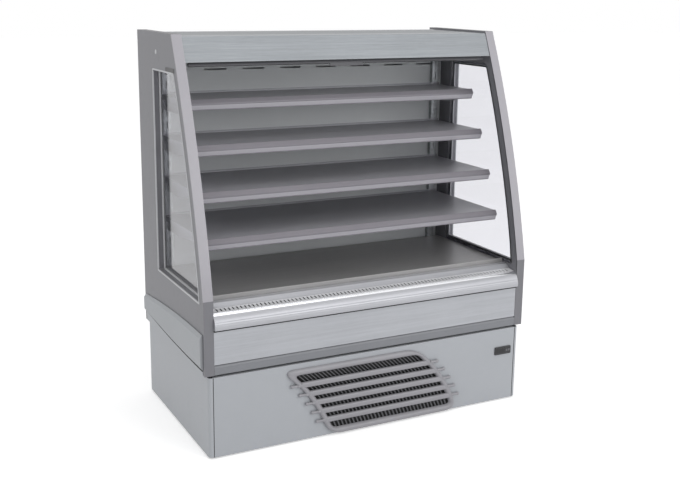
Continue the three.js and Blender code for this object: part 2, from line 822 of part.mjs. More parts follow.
// Insulated suction line from the evaporator down through the tub to the compressor.
function refrigerantPipe() {
  const compressorSide = compressorPlace.x + compressorRadius / 2;
  const compressorTop = panTop + compressorHeight + slack;
  const coilEnd = evaporatorWidth / 2 + coilPlate.thickness + gap;
  const coilY = evaporatorBack - evaporatorDepth / 5;
  const coilZ = evaporatorLow + evaporatorHeight / 2;
  const route = [
    [compressorSide, compressorPlace.y, compressorTop],
    [compressorSide + 2, compressorPlace.y, compressorTop + pipeBend],
    [compressorSide + 60, pipeUp.y, compressorTop + 1.5 * pipeBend],
    [pipeUp.x - pipeBend, pipeUp.y, compressorTop + 1.5 * pipeBend],
    [pipeUp.x, pipeUp.y, cabinetBottom],
    [pipeUp.x, pipeUp.y, tubFloor],
    [pipeUp.x - 5, pipeUp.y, coilZ - 8],
    [coilEnd + pipeBend, coilY, coilZ],
    [coilEnd, coilY, coilZ],
  ];
  const path = new THREE.CatmullRomCurve3(route.map((point) => new THREE.Vector3(...point)));
  const section = outline(circle(0, 0, pipeRadius, 8));
  const options = { steps: 32, extrudePath: path, bevelEnabled: false };
  return piece("refrigerant_pipe", new THREE.ExtrudeGeometry(section, options), "copper");
}

// ---- Insulated body -----------------------------------------------------------------

// Foam tub that holds the evaporator, open at the top.
function insulatedTub() {
  const front = panelFlange;
  const section = [
    [front, cabinetBottom],
    [backWallFront - gap, cabinetBottom],
    [backWallFront - gap, tubFloor],
    [front + frontWall, tubFloor],
    [front + frontWall, tubTop],
    [front, tubTop],
  ];
  const trough = extrudeX(outline(section), -fitHalf, fitHalf);
  const through = [cabinetBottom - slack, tubFloor + slack];
  const pipeHole = rodZ(pipeRadius + pipeClearance, ...through, pipeUp.x, pipeUp.y);
  return piece("insulated_tub", cut(trough, [pipeHole]), "liner");
}

function insulatedBack() {
  const geometry = box(-fitHalf, fitHalf, backWallFront, baseBack, cabinetBottom, roofTop);
  return piece("insulated_back", geometry, "liner");
}

const roofFront = frontY(roofTop) + roofSetback;

function insulatedRoof() {
  const low = canopyBottom + plenum + sheet;
  const geometry = box(-fitHalf, fitHalf, roofFront, backWallFront - gap, low, roofTop);
  return piece("insulated_roof", geometry, "liner");
}

function sideWindow(grow) {
  const low = windowBottom - grow;
  const high = windowTop + grow;
  const curve = spread(low, high, curvePoints).map((z) => [frontY(z, windowStile - grow), z]);
  curve[0].push(windowCorner);
  curve[curve.length - 1].push(windowCorner);
  return [
    ...curve,
    [windowBack + grow, high, windowCorner],
    [windowBack + grow, low, windowCorner],
  ];
}

function endOutline() {
  const curve = spread(kinkHeight, height, curvePoints).map((z) => [frontY(z), z]);
  return outline([[0, cabinetBottom], ...curve, [depth, height], [depth, cabinetBottom]]);
}

// The X range between two distances from the middle, on the left (-1) or the right (1).
function spanX(side, near, far) {
  return side > 0 ? [near, far] : [-far, -near];
}

// End frame with a glazed window. The rebate for the glass faces the display space.
function endFrame(name, side) {
  const ledge = innerHalf + rebateDepth;
  const outer = endOutline();
  outer.holes.push(hole(sideWindow(0)));
  const inner = endOutline();
  inner.holes.push(hole(sideWindow(rebateWidth)));
  const layers = join([
    extrudeX(outer, ...spanX(side, ledge, halfWidth)),
    extrudeX(inner, ...spanX(side, innerHalf, ledge)),
  ]);
  const socketSpan = spanX(side, innerHalf - slack, innerHalf + pinDepth + gap);
  const socket = rodX(rollerPin + gap, ...socketSpan, roller.y, roller.z, wideSides);
  return piece(name, cut(layers, [socket]), "endPanel");
}

function endGlass(name, side) {
  const pane = outline(sideWindow(rebateWidth - gap));
  const outerFace = innerHalf + rebateDepth - gap;
  const edges = spanX(side, outerFace - glassThickness, outerFace);
  return piece(name, extrudeX(pane, ...edges), "glass");
}

// Bumper moulding: flat top, upright face, and an underside that slopes back in.
// It gets slimmer towards the back.
function sideMoulding(name, side) {
  const start = halfWidth + gap;
  const section = [
    [0, mouldingTopFront],
    [mouldingProud - mouldingRound / 2, mouldingTopFront],
    [mouldingProud, mouldingTopFront - mouldingRound],
    [mouldingProud, mouldingLowFront],
    [mouldingProud / 2, mouldingLowFront - (mouldingTuck * 2) / 3],
    [0, mouldingLowFront - mouldingTuck],
  ];
  const shape = outline(section.map(([x, z]) => [side * (start + x), z]));
  const back = depth - mouldingBack;
  const geometry = extrudeY(shape, mouldingFront, back);
  const positions = geometry.getAttribute("position");
  const squeeze = (mouldingTopBack - mouldingLowBack) / (mouldingTopFront - mouldingLowFront);
  for (let i = 0; i < positions.count; i++)
    if (positions.getY(i) > back - slack) {
      const drop = (positions.getZ(i) - mouldingTopFront) * squeeze;
      positions.setZ(i, mouldingTopBack + drop);
    }
  return piece(name, geometry, "moulding");
}

// ---- Front dressing -------------------------------------------------------------------

// Brushed panel below the nosing, folded back at its top and bottom.
function frontPanel() {
  const section = [
    [0, panelBottom, foldRadius],
    [0, panelTop, foldRadius],
    [panelFlange - slack, panelTop],
    [panelFlange - slack, panelTop - sheet],
    [sheet, panelTop - sheet],
    [sheet, panelBottom + sheet],
    [panelFlange - slack, panelBottom + sheet],
    [panelFlange - slack, panelBottom],
  ];
  return piece("front_panel", extrudeX(outline(section), -fitHalf, fitHalf), "brushed");
}

function lowerTrim() {
  const section = [
    [0, cabinetBottom, foldRadius],
    [-slack, trimTop - 2 * foldRadius],
    [foldRadius, trimTop],
    [panelFlange - slack, trimTop],
    [panelFlange - slack, cabinetBottom],
  ];
  return piece("lower_trim", extrudeX(outline(section), -fitHalf, fitHalf), "trim");
}

// Rounded profile along the top of the front, which shoppers lean on. Its points are measured
// from its foremost line, and from its lower or upper edge.
function nosing() {
  const low = nosingBottom;
  const high = nosingTop;
  const section = [
    [-nosingProud + 5, low],
    [-nosingProud, low + 14],
    [-nosingProud + 2, low + 26],
    [-nosingProud + 10, high - 20],
    [-nosingProud + 25, high - 6],
    [nosingBack, high],
    [nosingBack, high - nosingLip],
    [panelFlange - slack, high - nosingLip - 4],
    [panelFlange - slack, low],
  ];
  return piece("nosing", extrudeX(outline(section), -fitHalf, fitHalf), "silver");
}

// Slotted strip where the air goes back down, between the nosing and the deck.
function returnGrille() {
  const front = nosingBack + gap;
  const back = deckFront - gap;
  const foot = tubTop + gap;
  const section = [
    [front, foot],
    [front, nosingTop + slack],
    [front + grilleSlope, grilleTop],
    [back, grilleTop],
    [back, grilleTop - sheet],
    [front + grilleSlope + slack, grilleTop - sheet],
    [front + sheet, nosingTop],
    [front + sheet, foot],
  ];
  const strip = extrudeX(outline(section), -fitHalf, fitHalf);
  const slots = Math.floor((2 * (fitHalf - slotMargin)) / slotPitch);
  const slotFront = front + (grilleSlope - slotLength) / 2 + slack;
  const cutters = Array.from({ length: slots }, (_, i) => {
    const x = (i - (slots - 1) / 2) * slotPitch;
    const sides = [x - slotWidth / 2, x + slotWidth / 2];
    const ends = [slotFront, slotFront + slotLength];
    return box(...sides, ...ends, nosingTop + slack, grilleTop + slack);
  });
  return piece("return_grille", cut(strip, cutters), "silver");
}

// ---- Inside the cabinet ------------------------------------------------------------------

const deckHalf = innerHalf - slack;

// Lift-up deck that the lowest goods stand on.
function deckPan() {
  const front = deckFront + slack;
  const back = uprightFront - slack;
  const half = deckHalf;
  const low = deckTop - deckSideDrop;
  const solids = [
    box(-half, half, front, back, deckTop - sheet, deckTop),
    box(-half, half, front, front + sheet, deckTop - deckFrontDrop, deckTop + deckLip),
    box(-half, half, back - sheet, back, low, deckTop),
    box(-half, -half + sheet, front, back, low, deckTop),
    box(half - sheet, half, front, back, low, deckTop),
  ];
  return piece("deck_pan", join(solids), "deck");
}

const fanX = innerHalf * fanPlaceShare;
const evaporatorFanY = fanPlateFront + sheet + fanDepth / 2 + fanSpacing;
const evaporatorFanZ = tubFloor + evaporatorFanRadius + evaporatorFanRise;

// Plate across the tub that carries the evaporator fans' motors and the deck.
function evaporatorFanPlate() {
  const top = deckTop - sheet - gap;
  const half = deckHalf - sheet - gap;
  const back = fanPlateFront + sheet;
  const face = outline(rectangle(-half, half, tubFloor + gap, top));
  const solids = [box(-half, half, fanPlateFront, back + fanPlateFold, top - sheet, top)];
  for (const x of [-fanX, fanX]) {
    face.holes.push(hole(circle(x, evaporatorFanZ, evaporatorFanRadius + fanRing, wideSides)));
    const motor = fanMotor(back - sheet / 2, evaporatorFanY, evaporatorFanRadius);
    solids.push(...motor.map((solid) => solid.translate(x, 0, evaporatorFanZ)));
  }
  solids.push(extrudeY(face, fanPlateFront, back));
  return piece("evaporator_fan_plate", join(solids), "galvanised");
}

function evaporatorFans() {
  const fans = [
    ["evaporator_fan_left", -fanX],
    ["evaporator_fan_right", fanX],
  ];
  return fans.map(([name, x]) =>
    placed(fan(name, evaporatorFanRadius), x, evaporatorFanY, evaporatorFanZ),
  );
}

function evaporatorCoil() {
  const size = { x: evaporatorWidth, y: evaporatorDepth, z: evaporatorHeight };
  const block = coil("evaporator_coil", size, 2);
  return placed(block, -evaporatorWidth / 2, evaporatorBack - evaporatorDepth, evaporatorLow);
}

// Inner back and top, one folded sheet with air slots in each bay.
function innerBackPanel() {
  const half = innerHalf - slack;
  const low = deckTop - uprightDepth;
  const high = canopyBottom;
  const front = innerBack - sheet;
  const pitch = (2 * half) / airSlot.columns;
  const side = airSlot.width / 2;
  const rows = [...shelfHeights.map((shelfZ) => shelfZ - airSlot.drop), high - canopySlotDrop];
  const slots = [];
  for (const z of rows)
    for (let column = 0; column < airSlot.columns; column++) {
      const x = (column - (airSlot.columns - 1) / 2) * pitch;
      const through = [front - slack, innerBack + slack];
      slots.push(box(x - side, x + side, ...through, z, z + airSlot.height));
    }
  const back = cut(box(-half, half, front, innerBack, low, high + sheet), slots);
  const top = box(-half, half, honeycombBack + gap, innerBack, high, high + sheet);
  return piece("inner_back_panel", join([back, top]), "liner");
}

// Slotted shelf upright, open towards the back panel.
function upright(name, side) {
  const x = side * armX;
  const half = uprightWidth / 2;
  const inside = half - uprightWall;
  const back = innerBack - sheet - gap;
  const low = tubFloor + gap;
  const high = canopyBottom - gap;
  const bar = box(x - half, x + half, uprightFront, back, low, high);
  const through = [uprightFront + uprightWall, back + slack, low - slack, high + slack];
  const cutters = [box(x - inside, x + inside, ...through)];
  const hooks = shelfHeights.map(hookCentre);
  for (const z of hooks) cutters.push(slotCut(x, z));
  for (let z = deckTop + uprightPitch; z < high - uprightPitch; z += uprightPitch) {
    const nearHook = hooks.some((hookZ) => Math.abs(z - hookZ) < uprightSlot + hookHeight / 2);
    if (!nearHook) cutters.push(slotCut(x, z));
  }
  return piece(name, cut(bar, cutters), "galvanised");
}

// A slot in the upright's front wall, a little wider than the arm that hooks into it.
function slotCut(x, z) {
  const half = armThickness / 2 + gap;
  const rise = uprightSlot / 2;
  const through = [uprightFront - slack, uprightFront + uprightWall + slack];
  return box(x - half, x + half, ...through, z - rise, z + rise);
}

function hookCentre(shelfZ) {
  return shelfZ - sheet - armRear / 3;
}

const shelfBack = uprightFront - slack;

// The shelf's pieces are built with z = 0 on the top of the shelf.
function shelfBracket(name, front, shelfZ) {
  const top = -sheet - gap;
  const hookZ = hookCentre(shelfZ) - shelfZ;
  const rise = hookHeight / 2;
  const arm = outline([
    [front + armSetback, top],
    [front + armSetback, top - armFront],
    [shelfBack - armStraight, top - armRear],
    [shelfBack, top - armRear],
    [shelfBack, hookZ - rise],
    [uprightFront + hookDepth, hookZ - rise],
    [uprightFront + hookDepth, hookZ + rise],
    [shelfBack, hookZ + rise],
    [shelfBack, top],
  ]);
  const tieY = front + tieSetback;
  const tie = [tieY, tieY + tieDepth, top - armFront, top - tieDrop];
  const solids = [box(-armX, armX, ...tie)];
  for (const side of [-1, 1]) {
    const low = side * armX - armThickness / 2;
    solids.push(extrudeX(arm, low, low + armThickness));
  }
  return piece(name, join(solids), "shelf");
}

function shelfTray(name, front) {
  const half = shelfHalf;
  const solids = [
    box(-half, half, front, shelfBack, -sheet, 0),
    box(-half, half, front, front + sheet, -shelfFrontLip, 0),
    box(-half, half, shelfBack - sheet, shelfBack, -sheet, shelfRearLip),
    box(-half, -half + sheet, front, shelfBack, -shelfLip, 0),
    box(half - sheet, half, front, shelfBack, -shelfLip, 0),
  ];
  return piece(name, join(solids), "shelf");
}

// Ticket rail clipped on the shelf's front edge: its face leans back at the top.
function priceRail(name, front) {
  const back = front - gap;
  const face = back - railDepth;
  const section = [
    [back, railRise],
    [back - railLip, railRise],
    [face, railFace.top],
    [face, railFace.low],
    [back - railLip, railFoot],
    [back, railFoot],
  ];
  return piece(name, extrudeX(outline(section), -shelfHalf, shelfHalf), "rail");
}

function shelf(level) {
  const z = shelfHeights[level];
  const front = Math.round(blindY(z) + shelfSetbacks[level] + railDepth);
  const number = level + 1;
  const group = grouped(
    shelfBracket("shelf_bracket_" + number, front, z),
    shelfTray("shelf_tray_" + number, front),
    priceRail("price_rail_" + number, front),
  );
  group.position.z = z;
  return group;
}

// ---- Canopy and night blind ----------------------------------------------------------------

const honeycombFront = roofFront + honeycombSetback;
const honeycombBack = honeycombFront + honeycombDepth;

// Folded front of the canopy, following the curve of the end frames.
function canopyFascia() {
  const inset = 2;
  const heights = spread(canopyBottom, roofTop, 4);
  const outer = heights.map((z) => [frontY(z, inset), z]);
  const inner = heights.map((z) => [frontY(z, inset + sheet), z]);
  inner[0][1] += sheet;
  inner[inner.length - 1][1] -= sheet;
  const lipBack = outer[0][0] + fasciaReturn;
  const roofLip = roofFront - gap;
  const section = [
    ...outer,
    [roofLip, roofTop],
    [roofLip, roofTop - sheet],
    ...inner.reverse(),
    [lipBack, canopyBottom + sheet],
    [lipBack, canopyBottom],
  ];
  return piece("canopy_fascia", extrudeX(outline(section), -fitHalf, fitHalf), "brushed");
}

// Lamp batten along the underside of the roof, with its tube below.
function canopyLamp() {
  const top = canopyBottom + plenum + sheet - gap;
  const y = roofFront + lampSetback;
  const half = innerHalf - lampInset;
  const low = top - lampBatten.height;
  const batten = box(-half, half, y - lampBatten.half, y + lampBatten.half, low, top);
  const tubeZ = low - lampDrop;
  const tubeHalf = half - lampHolder.width / 2;
  const tube = rodX(lampRadius, -tubeHalf, tubeHalf, y, tubeZ);
  const across = [y - lampHolder.half, y + lampHolder.half];
  const up = [tubeZ - lampHolder.half, low + slack];
  const holders = [
    box(-half, -half + lampHolder.width, ...across, ...up),
    box(half - lampHolder.width, half, ...across, ...up),
  ];
  return piece("canopy_lamp", join([batten, tube, ...holders]), "lamp");
}

// Straightener that the cold air curtain comes down through.
function airHoneycomb() {
  const half = innerHalf - slack;
  const top = canopyBottom + plenum + sheet - gap;
  const low = top - honeycombHeight;
  const { count, border, web, rim } = honeycombCell;
  const pitch = (2 * (half - border)) / count;
  const through = [honeycombFront + rim, honeycombBack - rim, low - slack, top + slack];
  const holes = Array.from({ length: count }, (_, cell) => {
    const x = -half + border + pitch * cell;
    return box(x + web, x + pitch - web, ...through);
  });
  const slab = box(-half, half, honeycombFront, honeycombBack, low, top);
  return piece("air_honeycomb", cut(slab, holes), "black");
}

function blindRoller() {
  const half = innerHalf - rollerInset;
  const pinEnd = innerHalf + pinDepth;
  const solids = [
    rodX(rollerRadius, -half, half, roller.y, roller.z, middleSides),
    rodX(rollerPin, -pinEnd, pinEnd, roller.y, roller.z, wideSides),
  ];
  return piece("blind_roller", join(solids), "silver");
}

const blindHalf = innerHalf - blindInset;

// Pull bar, with a grip in the middle. Built upright about the blind's plane, then leant.
function blindBar() {
  const halfDepth = blindBarDepth / 2;
  const rise = blindBarHeight / 2;
  const { half, drop, depth: gripDepth } = blindGrip;
  const solids = [
    box(-blindHalf, blindHalf, -halfDepth, halfDepth, -rise, rise),
    box(-half, half, -halfDepth, -halfDepth + gripDepth, -rise - drop, rise),
  ];
  const mesh = placed(piece("blind_bar", join(solids), "silver"), 0, blindTop.y, blindTop.z);
  mesh.rotation.x = -blindLean;
  return mesh;
}

// The stretch of the blind between the roller and the pull bar, when it is up.
function blindFabric() {
  const low = blindBarHeight / 2 + gap;
  const high = (blindLeaves.z - blindTop.z) / -blindDown.z;
  const half = blindThickness / 2;
  const geometry = box(-blindHalf, blindHalf, -half, half, low, high);
  const mesh = placed(piece("blind_fabric", geometry, "cloth"), 0, blindTop.y, blindTop.z);
  mesh.rotation.x = -blindLean;
  return mesh;
}

// ---- The whole case ----------------------------------------------------------------------

const base = grouped(
  baseFrame(),
  foot("foot_front_left", -footX, footFront),
  foot("foot_front_right", footX, footFront),
  foot("foot_rear_left", -footX, footBack),
  foot("foot_rear_right", footX, footBack),
  baseSide("base_side_left", -1),
  baseSide("base_side_right", 1),
  baseFrontPanel(),
  baseBackPanel(),
  condenserGrille(),
  controller(),
  condenser(),
  compressor(),
  evaporationTray(),
  electricalBox(),
  refrigerantPipe(),
);

const cabinet = grouped(
  insulatedTub(),
  insulatedBack(),
  insulatedRoof(),
  endFrame("end_frame_left", -1),
  endFrame("end_frame_right", 1),
  endGlass("end_glass_left", -1),
  endGlass("end_glass_right", 1),
  sideMoulding("side_moulding_left", -1),
  sideMoulding("side_moulding_right", 1),
  frontPanel(),
  lowerTrim(),
  nosing(),
  returnGrille(),
  deckPan(),
  evaporatorFanPlate(),
  ...evaporatorFans(),
  evaporatorCoil(),
  innerBackPanel(),
  upright("upright_left", -1),
  upright("upright_right", 1),
);

const shelves = grouped(...shelfHeights.map((_, level) => shelf(level)));

const canopy = grouped(
  canopyFascia(),
  canopyLamp(),
  airHoneycomb(),
  blindRoller(),
  blindBar(),
  blindFabric(),
);

// The origin is on the floor, under the middle of the case.
const fridge = grouped(base, cabinet, shelves, canopy);
fridge.position.y = -(depth - nosingProud) / 2;

export default fridge;
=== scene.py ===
# An open multideck display fridge with its cooling unit in the base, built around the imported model.
import json
import math

import bpy
from mathutils import Matrix, Vector

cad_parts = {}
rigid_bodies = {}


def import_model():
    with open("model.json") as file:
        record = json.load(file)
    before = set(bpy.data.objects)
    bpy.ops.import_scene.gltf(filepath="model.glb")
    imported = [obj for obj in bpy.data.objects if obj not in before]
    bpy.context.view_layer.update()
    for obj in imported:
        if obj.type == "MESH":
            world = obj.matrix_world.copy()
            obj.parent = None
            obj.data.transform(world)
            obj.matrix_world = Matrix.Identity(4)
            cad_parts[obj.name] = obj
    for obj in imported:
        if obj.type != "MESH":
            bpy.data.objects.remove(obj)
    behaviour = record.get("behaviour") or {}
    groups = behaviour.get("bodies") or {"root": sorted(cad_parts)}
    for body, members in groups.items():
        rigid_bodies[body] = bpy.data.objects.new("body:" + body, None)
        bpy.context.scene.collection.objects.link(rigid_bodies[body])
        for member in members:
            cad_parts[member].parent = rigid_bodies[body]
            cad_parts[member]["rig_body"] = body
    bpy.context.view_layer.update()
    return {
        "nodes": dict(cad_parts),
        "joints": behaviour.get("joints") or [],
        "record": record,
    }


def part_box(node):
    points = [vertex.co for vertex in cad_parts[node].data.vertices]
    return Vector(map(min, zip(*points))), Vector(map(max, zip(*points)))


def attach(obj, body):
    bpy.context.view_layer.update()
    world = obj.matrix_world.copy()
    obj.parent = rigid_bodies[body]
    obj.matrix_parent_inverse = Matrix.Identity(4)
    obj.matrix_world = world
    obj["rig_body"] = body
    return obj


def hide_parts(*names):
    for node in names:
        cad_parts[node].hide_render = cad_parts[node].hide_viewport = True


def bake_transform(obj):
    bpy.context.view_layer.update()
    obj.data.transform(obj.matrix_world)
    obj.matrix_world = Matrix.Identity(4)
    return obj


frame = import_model()  # metres: X right, Y back, Z up, floor at 0
scene = bpy.context.scene
edit = bpy.ops.mesh  # the edit mode tools
nodeBody = {name: node["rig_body"] for name, node in frame["nodes"].items()}
nodeSlot = {row["node"]: row["material_slot"] for row in frame["record"]["subparts"]}
bothSides = ((-1, "left"), (1, "right"))
print("frame loaded:", len(nodeBody), "nodes")

# The camera stands at the photograph's angle, in front of the case and to its left.
cameraView = {"place": (-1.728, -3.407, 1.602), "turn": -27.17, "tilt": -12.51, "roll": 0.68,
              "focal": 1002.3, "pictureWidth": 680, "shift": -0.04}


def setCamera(look):
    data = bpy.data.cameras.new("camera")
    data.sensor_width = 36
    data.lens = look["focal"] * data.sensor_width / look["pictureWidth"]
    data.shift_y = look["shift"]
    camera = bpy.data.objects.new("camera", data)
    scene.collection.objects.link(camera)
    camera.location = look["place"]
    turned = Matrix.Rotation(math.radians(look["turn"]), 3, "Z")
    turned @= Matrix.Rotation(math.radians(90 + look["tilt"]), 3, "X")
    turned @= Matrix.Rotation(math.radians(look["roll"]), 3, "Z")
    camera.rotation_euler = turned.to_euler()
    scene.camera = camera


setCamera(cameraView)
print("camera set")


# Working in object mode and edit mode.
def makeActive(piece):
    bpy.ops.object.select_all(action="DESELECT")
    piece.select_set(True)
    bpy.context.view_layer.objects.active = piece


def applyPlace(piece):
    makeActive(piece)
    bpy.ops.object.transform_apply(location=True, rotation=True, scale=True)


def openEdit(piece, select="EDGE"):
    makeActive(piece)
    bpy.ops.object.mode_set(mode="EDIT")
    edit.select_mode(type=select)
    selectAll()


def closeEdit():
    bpy.ops.object.mode_set(mode="OBJECT")


def selectAll():
    edit.select_all(action="SELECT")


def pickFaces(piece, wanted):  # selects the faces that wanted() says yes to, by centre and normal
    edit.select_all(action="DESELECT")
    closeEdit()
    for face in piece.data.polygons:
        face.select = wanted(face.center, face.normal)
    bpy.ops.object.mode_set(mode="EDIT")


def pickEdges(piece, wanted):  # the same for edges, by their two ends
    edit.select_all(action="DESELECT")
    closeEdit()
    ends = [vertex.co for vertex in piece.data.vertices]
    for edge in piece.data.edges:
        edge.select = wanted(*(ends[i] for i in edge.vertices))
    bpy.ops.object.mode_set(mode="EDIT")


def pullOut(offset):
    edit.extrude_region_move(TRANSFORM_OT_translate={"value": tuple(offset)})


def faceOut():
    selectAll()
    edit.normals_make_consistent(inside=False)


def weld(threshold=0.00001):
    selectAll()
    edit.remove_doubles(threshold=threshold)
    edit.normals_make_consistent(inside=False)


def addModifier(piece, kind, **settings):
    makeActive(piece)
    bpy.ops.object.modifier_add(type=kind)
    modifier = piece.modifiers[-1]
    for key, value in settings.items():
        setattr(modifier, key, value)
    bpy.ops.object.modifier_apply(modifier=modifier.name)


def thicken(piece, thickness, offset=0):
    addModifier(piece, "SOLIDIFY", thickness=thickness, offset=offset)


def repeat(piece, count, step, **settings):
    addModifier(piece, "ARRAY", count=count, use_relative_offset=False, use_constant_offset=True,
                constant_offset_displace=step, **settings)


def roundEdges(piece, radius, segments=2, angle=28):
    addModifier(piece, "BEVEL", width=radius, segments=segments, limit_method="ANGLE",
                angle_limit=math.radians(angle))


def roundCorners(piece, wanted, radius, segments):
    openEdit(piece)
    pickEdges(piece, wanted)
    edit.bevel(offset=radius, segments=segments)
    closeEdit()


def insetFaces(piece, wanted, *steps):  # each step is a width and a depth
    openEdit(piece, "FACE")
    pickFaces(piece, wanted)
    for width, depth in steps:
        edit.inset(thickness=width, depth=depth)
    closeEdit()


def joined(name, pieces):
    bpy.ops.object.select_all(action="DESELECT")
    for piece in pieces:
        piece.select_set(True)
    bpy.context.view_layer.objects.active = pieces[0]
    bpy.ops.object.join()
    pieces[0].name = pieces[0].data.name = name
    return pieces[0]


def copied(piece, offset, name=None):  # a copy with its own mesh, moved by offset
    copy = bpy.data.objects.new(name or piece.name, piece.data.copy())
    scene.collection.objects.link(copy)
    openEdit(copy)
    bpy.ops.transform.translate(value=tuple(offset))
    closeEdit()
    return copy


def mirrored(piece, name):  # the same piece on the other side of the case
    copy = copied(piece, (0, 0, 0), name)
    openEdit(copy)
    bpy.ops.transform.resize(value=(-1, 1, 1), center_override=(0, 0, 0))
    edit.flip_normals()
    closeEdit()
    return copy


def started(name, addPrimitive, **settings):  # a primitive to be shaped further
    bpy.ops.object.select_all(action="DESELECT")
    addPrimitive(**settings)
    piece = bpy.context.object
    piece.name = piece.data.name = name
    return piece


def newBlock(name, low, high, radius=0, segments=2):  # a block between two corners
    low, high = Vector(low), Vector(high)
    block = started(name, edit.primitive_cube_add, size=1, location=(low + high) / 2)
    block.scale = high - low
    applyPlace(block)
    if radius:
        roundEdges(block, radius, segments)
    return block


def newRod(name, start, end, radius, sides):  # a round bar from one point to another
    start, end = Vector(start), Vector(end)
    rod = started(name, edit.primitive_cylinder_add, vertices=sides, radius=radius,
                  depth=(end - start).length, location=(start + end) / 2)
    rod.rotation_euler = (end - start).to_track_quat("Z", "Y").to_euler()
    applyPlace(rod)
    return rod


def drawnLine(name, points):  # one vertex, extruded from point to point
    points = [Vector(point) for point in points]
    line = started(name, edit.primitive_plane_add, size=0.001, location=points[0])
    applyPlace(line)
    openEdit(line, "VERT")
    edit.merge(type="CENTER")
    for here, there in zip(points, points[1:]):
        pullOut(there - here)
    closeEdit()
    return line


def drawnOutline(name, points, along, closed=True):  # an outline, filled and drawn out
    piece = drawnLine(name, points)
    openEdit(piece, "VERT")
    if closed:
        edit.edge_face_add()
    selectAll()
    pullOut(along)
    faceOut()
    closeEdit()
    return piece


def drawnAcross(name, section, start, end, closed=True):  # a section of (y, z), drawn along X
    return drawnOutline(name, [(start, y, z) for y, z in section], (end - start, 0, 0), closed)


def turnedPiece(name, points, centre, axis, steps):  # a line spun round an axis
    piece = drawnLine(name, points)
    openEdit(piece, "VERT")
    edit.spin(steps=steps, angle=math.tau, center=tuple(centre), axis=tuple(axis))
    weld()
    closeEdit()
    return piece


def turnedAcross(name, profile, y, z, steps=32):  # about a line along X: places in metres, radii in mm
    points = [(x, y + out / 1000, z) for x, out in profile]
    return turnedPiece(name, points, (0, y, z), (1, 0, 0), steps)


def turnedUpright(name, profile, x, y, z, steps):  # about an upright line: radii and heights in mm
    points = [(x + out / 1000, y, z + up / 1000) for out, up in profile]
    return turnedPiece(name, points, (x, y, z), (0, 0, 1), steps)


def withMirror(profile):  # a profile that ends at x = 0, and the same again beyond it
    return profile + [(-x, out) for x, out in profile[-2::-1]]


def shapedGrid(name, rows):  # a grid laid over rows of points, closed where its edges meet
    grid = started(name, edit.primitive_grid_add, x_subdivisions=len(rows[0]) - 1,
                   y_subdivisions=len(rows) - 1, size=1)
    places = [point for row in rows for point in row]
    for vertex, place in zip(grid.data.vertices, places):
        vertex.co = place
    openEdit(grid, "VERT")
    weld()
    closeEdit()
    return grid


def nodeCopy(name, node):  # a CAD node's shape, welded, with its triangles made whole faces
    piece = bpy.data.objects.new(name, frame["nodes"][node].data.copy())
    scene.collection.objects.link(piece)
    piece.data.materials.clear()
    openEdit(piece)
    edit.customdata_custom_splitnormals_clear()
    edit.remove_doubles(threshold=0.00002)
    edit.dissolve_limited(angle_limit=math.radians(0.5))
    closeEdit()
    return piece


def addFinish(piece, finish, wanted):  # a second finish, on the faces that wanted() says yes to
    piece.data.materials.append(finishes[finish])
    for face in piece.data.polygons:
        face.material_index = int(wanted(face.center, face.normal))


def finished(piece, body, slot, replaced=(), angle=35, finish=None):
    applyPlace(piece)
    bpy.ops.object.shade_smooth_by_angle(angle=math.radians(angle))
    addModifier(piece, "WEIGHTED_NORMAL", keep_sharp=True)
    if not piece.data.materials:
        piece.data.materials.append(finishes[finish or slot])
    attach(piece, body)
    if replaced:
        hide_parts(*replaced)
    return piece


# Shader nodes, and the effects that several finishes share.
def colour(red, green, blue):  # screen values, 0 to 255, as the shader's linear ones
    values = [value / 255 for value in (red, green, blue)]
    return (*[v / 12.92 if v < 0.04045 else ((v + 0.055) / 1.055) ** 2.4 for v in values], 1)


def feed(socket, value):  # links the socket, or sets its value
    if isinstance(value, bpy.types.NodeSocket):
        socket.id_data.links.new(value, socket)
    else:
        socket.default_value = value


def addNode(near, kind, inputs=(), **settings):  # near: the node tree, or any socket in it
    node = near.id_data.nodes.new("ShaderNode" + kind)
    for key, value in settings.items():
        setattr(node, key, value)
    for socket, value in dict(inputs).items():
        feed(node.inputs[socket], value)
    return node


def mathNode(operation, *values, clamp=False):
    return addNode(values[0], "Math", enumerate(values), operation=operation, use_clamp=clamp).outputs[0]


def rangeNode(value, *limits):  # limits: from low, from high, to low, to high
    return addNode(value, "MapRange", enumerate((value, *limits))).outputs["Result"]


def noiseNode(vector, scale, detail, roughness):
    given = {"Vector": vector, "Scale": scale, "Detail": detail, "Roughness": roughness}
    return addNode(vector, "TexNoise", given).outputs["Fac"]


def shadedColour(base, factor):  # a colour times a value
    return addNode(base, "VectorMath", {0: base, "Scale": factor}, operation="SCALE").outputs[0]


def mixedColour(factor, first, second):
    return addNode(factor, "Mix", {0: factor, 6: first, 7: second}, data_type="RGBA").outputs[2]


def newGroup(name, inputs, output, outputKind="Float"):
    tree = bpy.data.node_groups.new(name, "ShaderNodeTree")
    tree.interface.new_socket("Vector", in_out="INPUT", socket_type="NodeSocketVector")
    for label, kind, start in inputs:
        socket = tree.interface.new_socket(label, in_out="INPUT", socket_type="NodeSocket" + kind)
        if start is not None:
            socket.default_value = start
    for label in output:
        tree.interface.new_socket(label, in_out="OUTPUT", socket_type="NodeSocket" + outputKind)
    return tree, tree.nodes.new("NodeGroupInput").outputs, tree.nodes.new("NodeGroupOutput").inputs


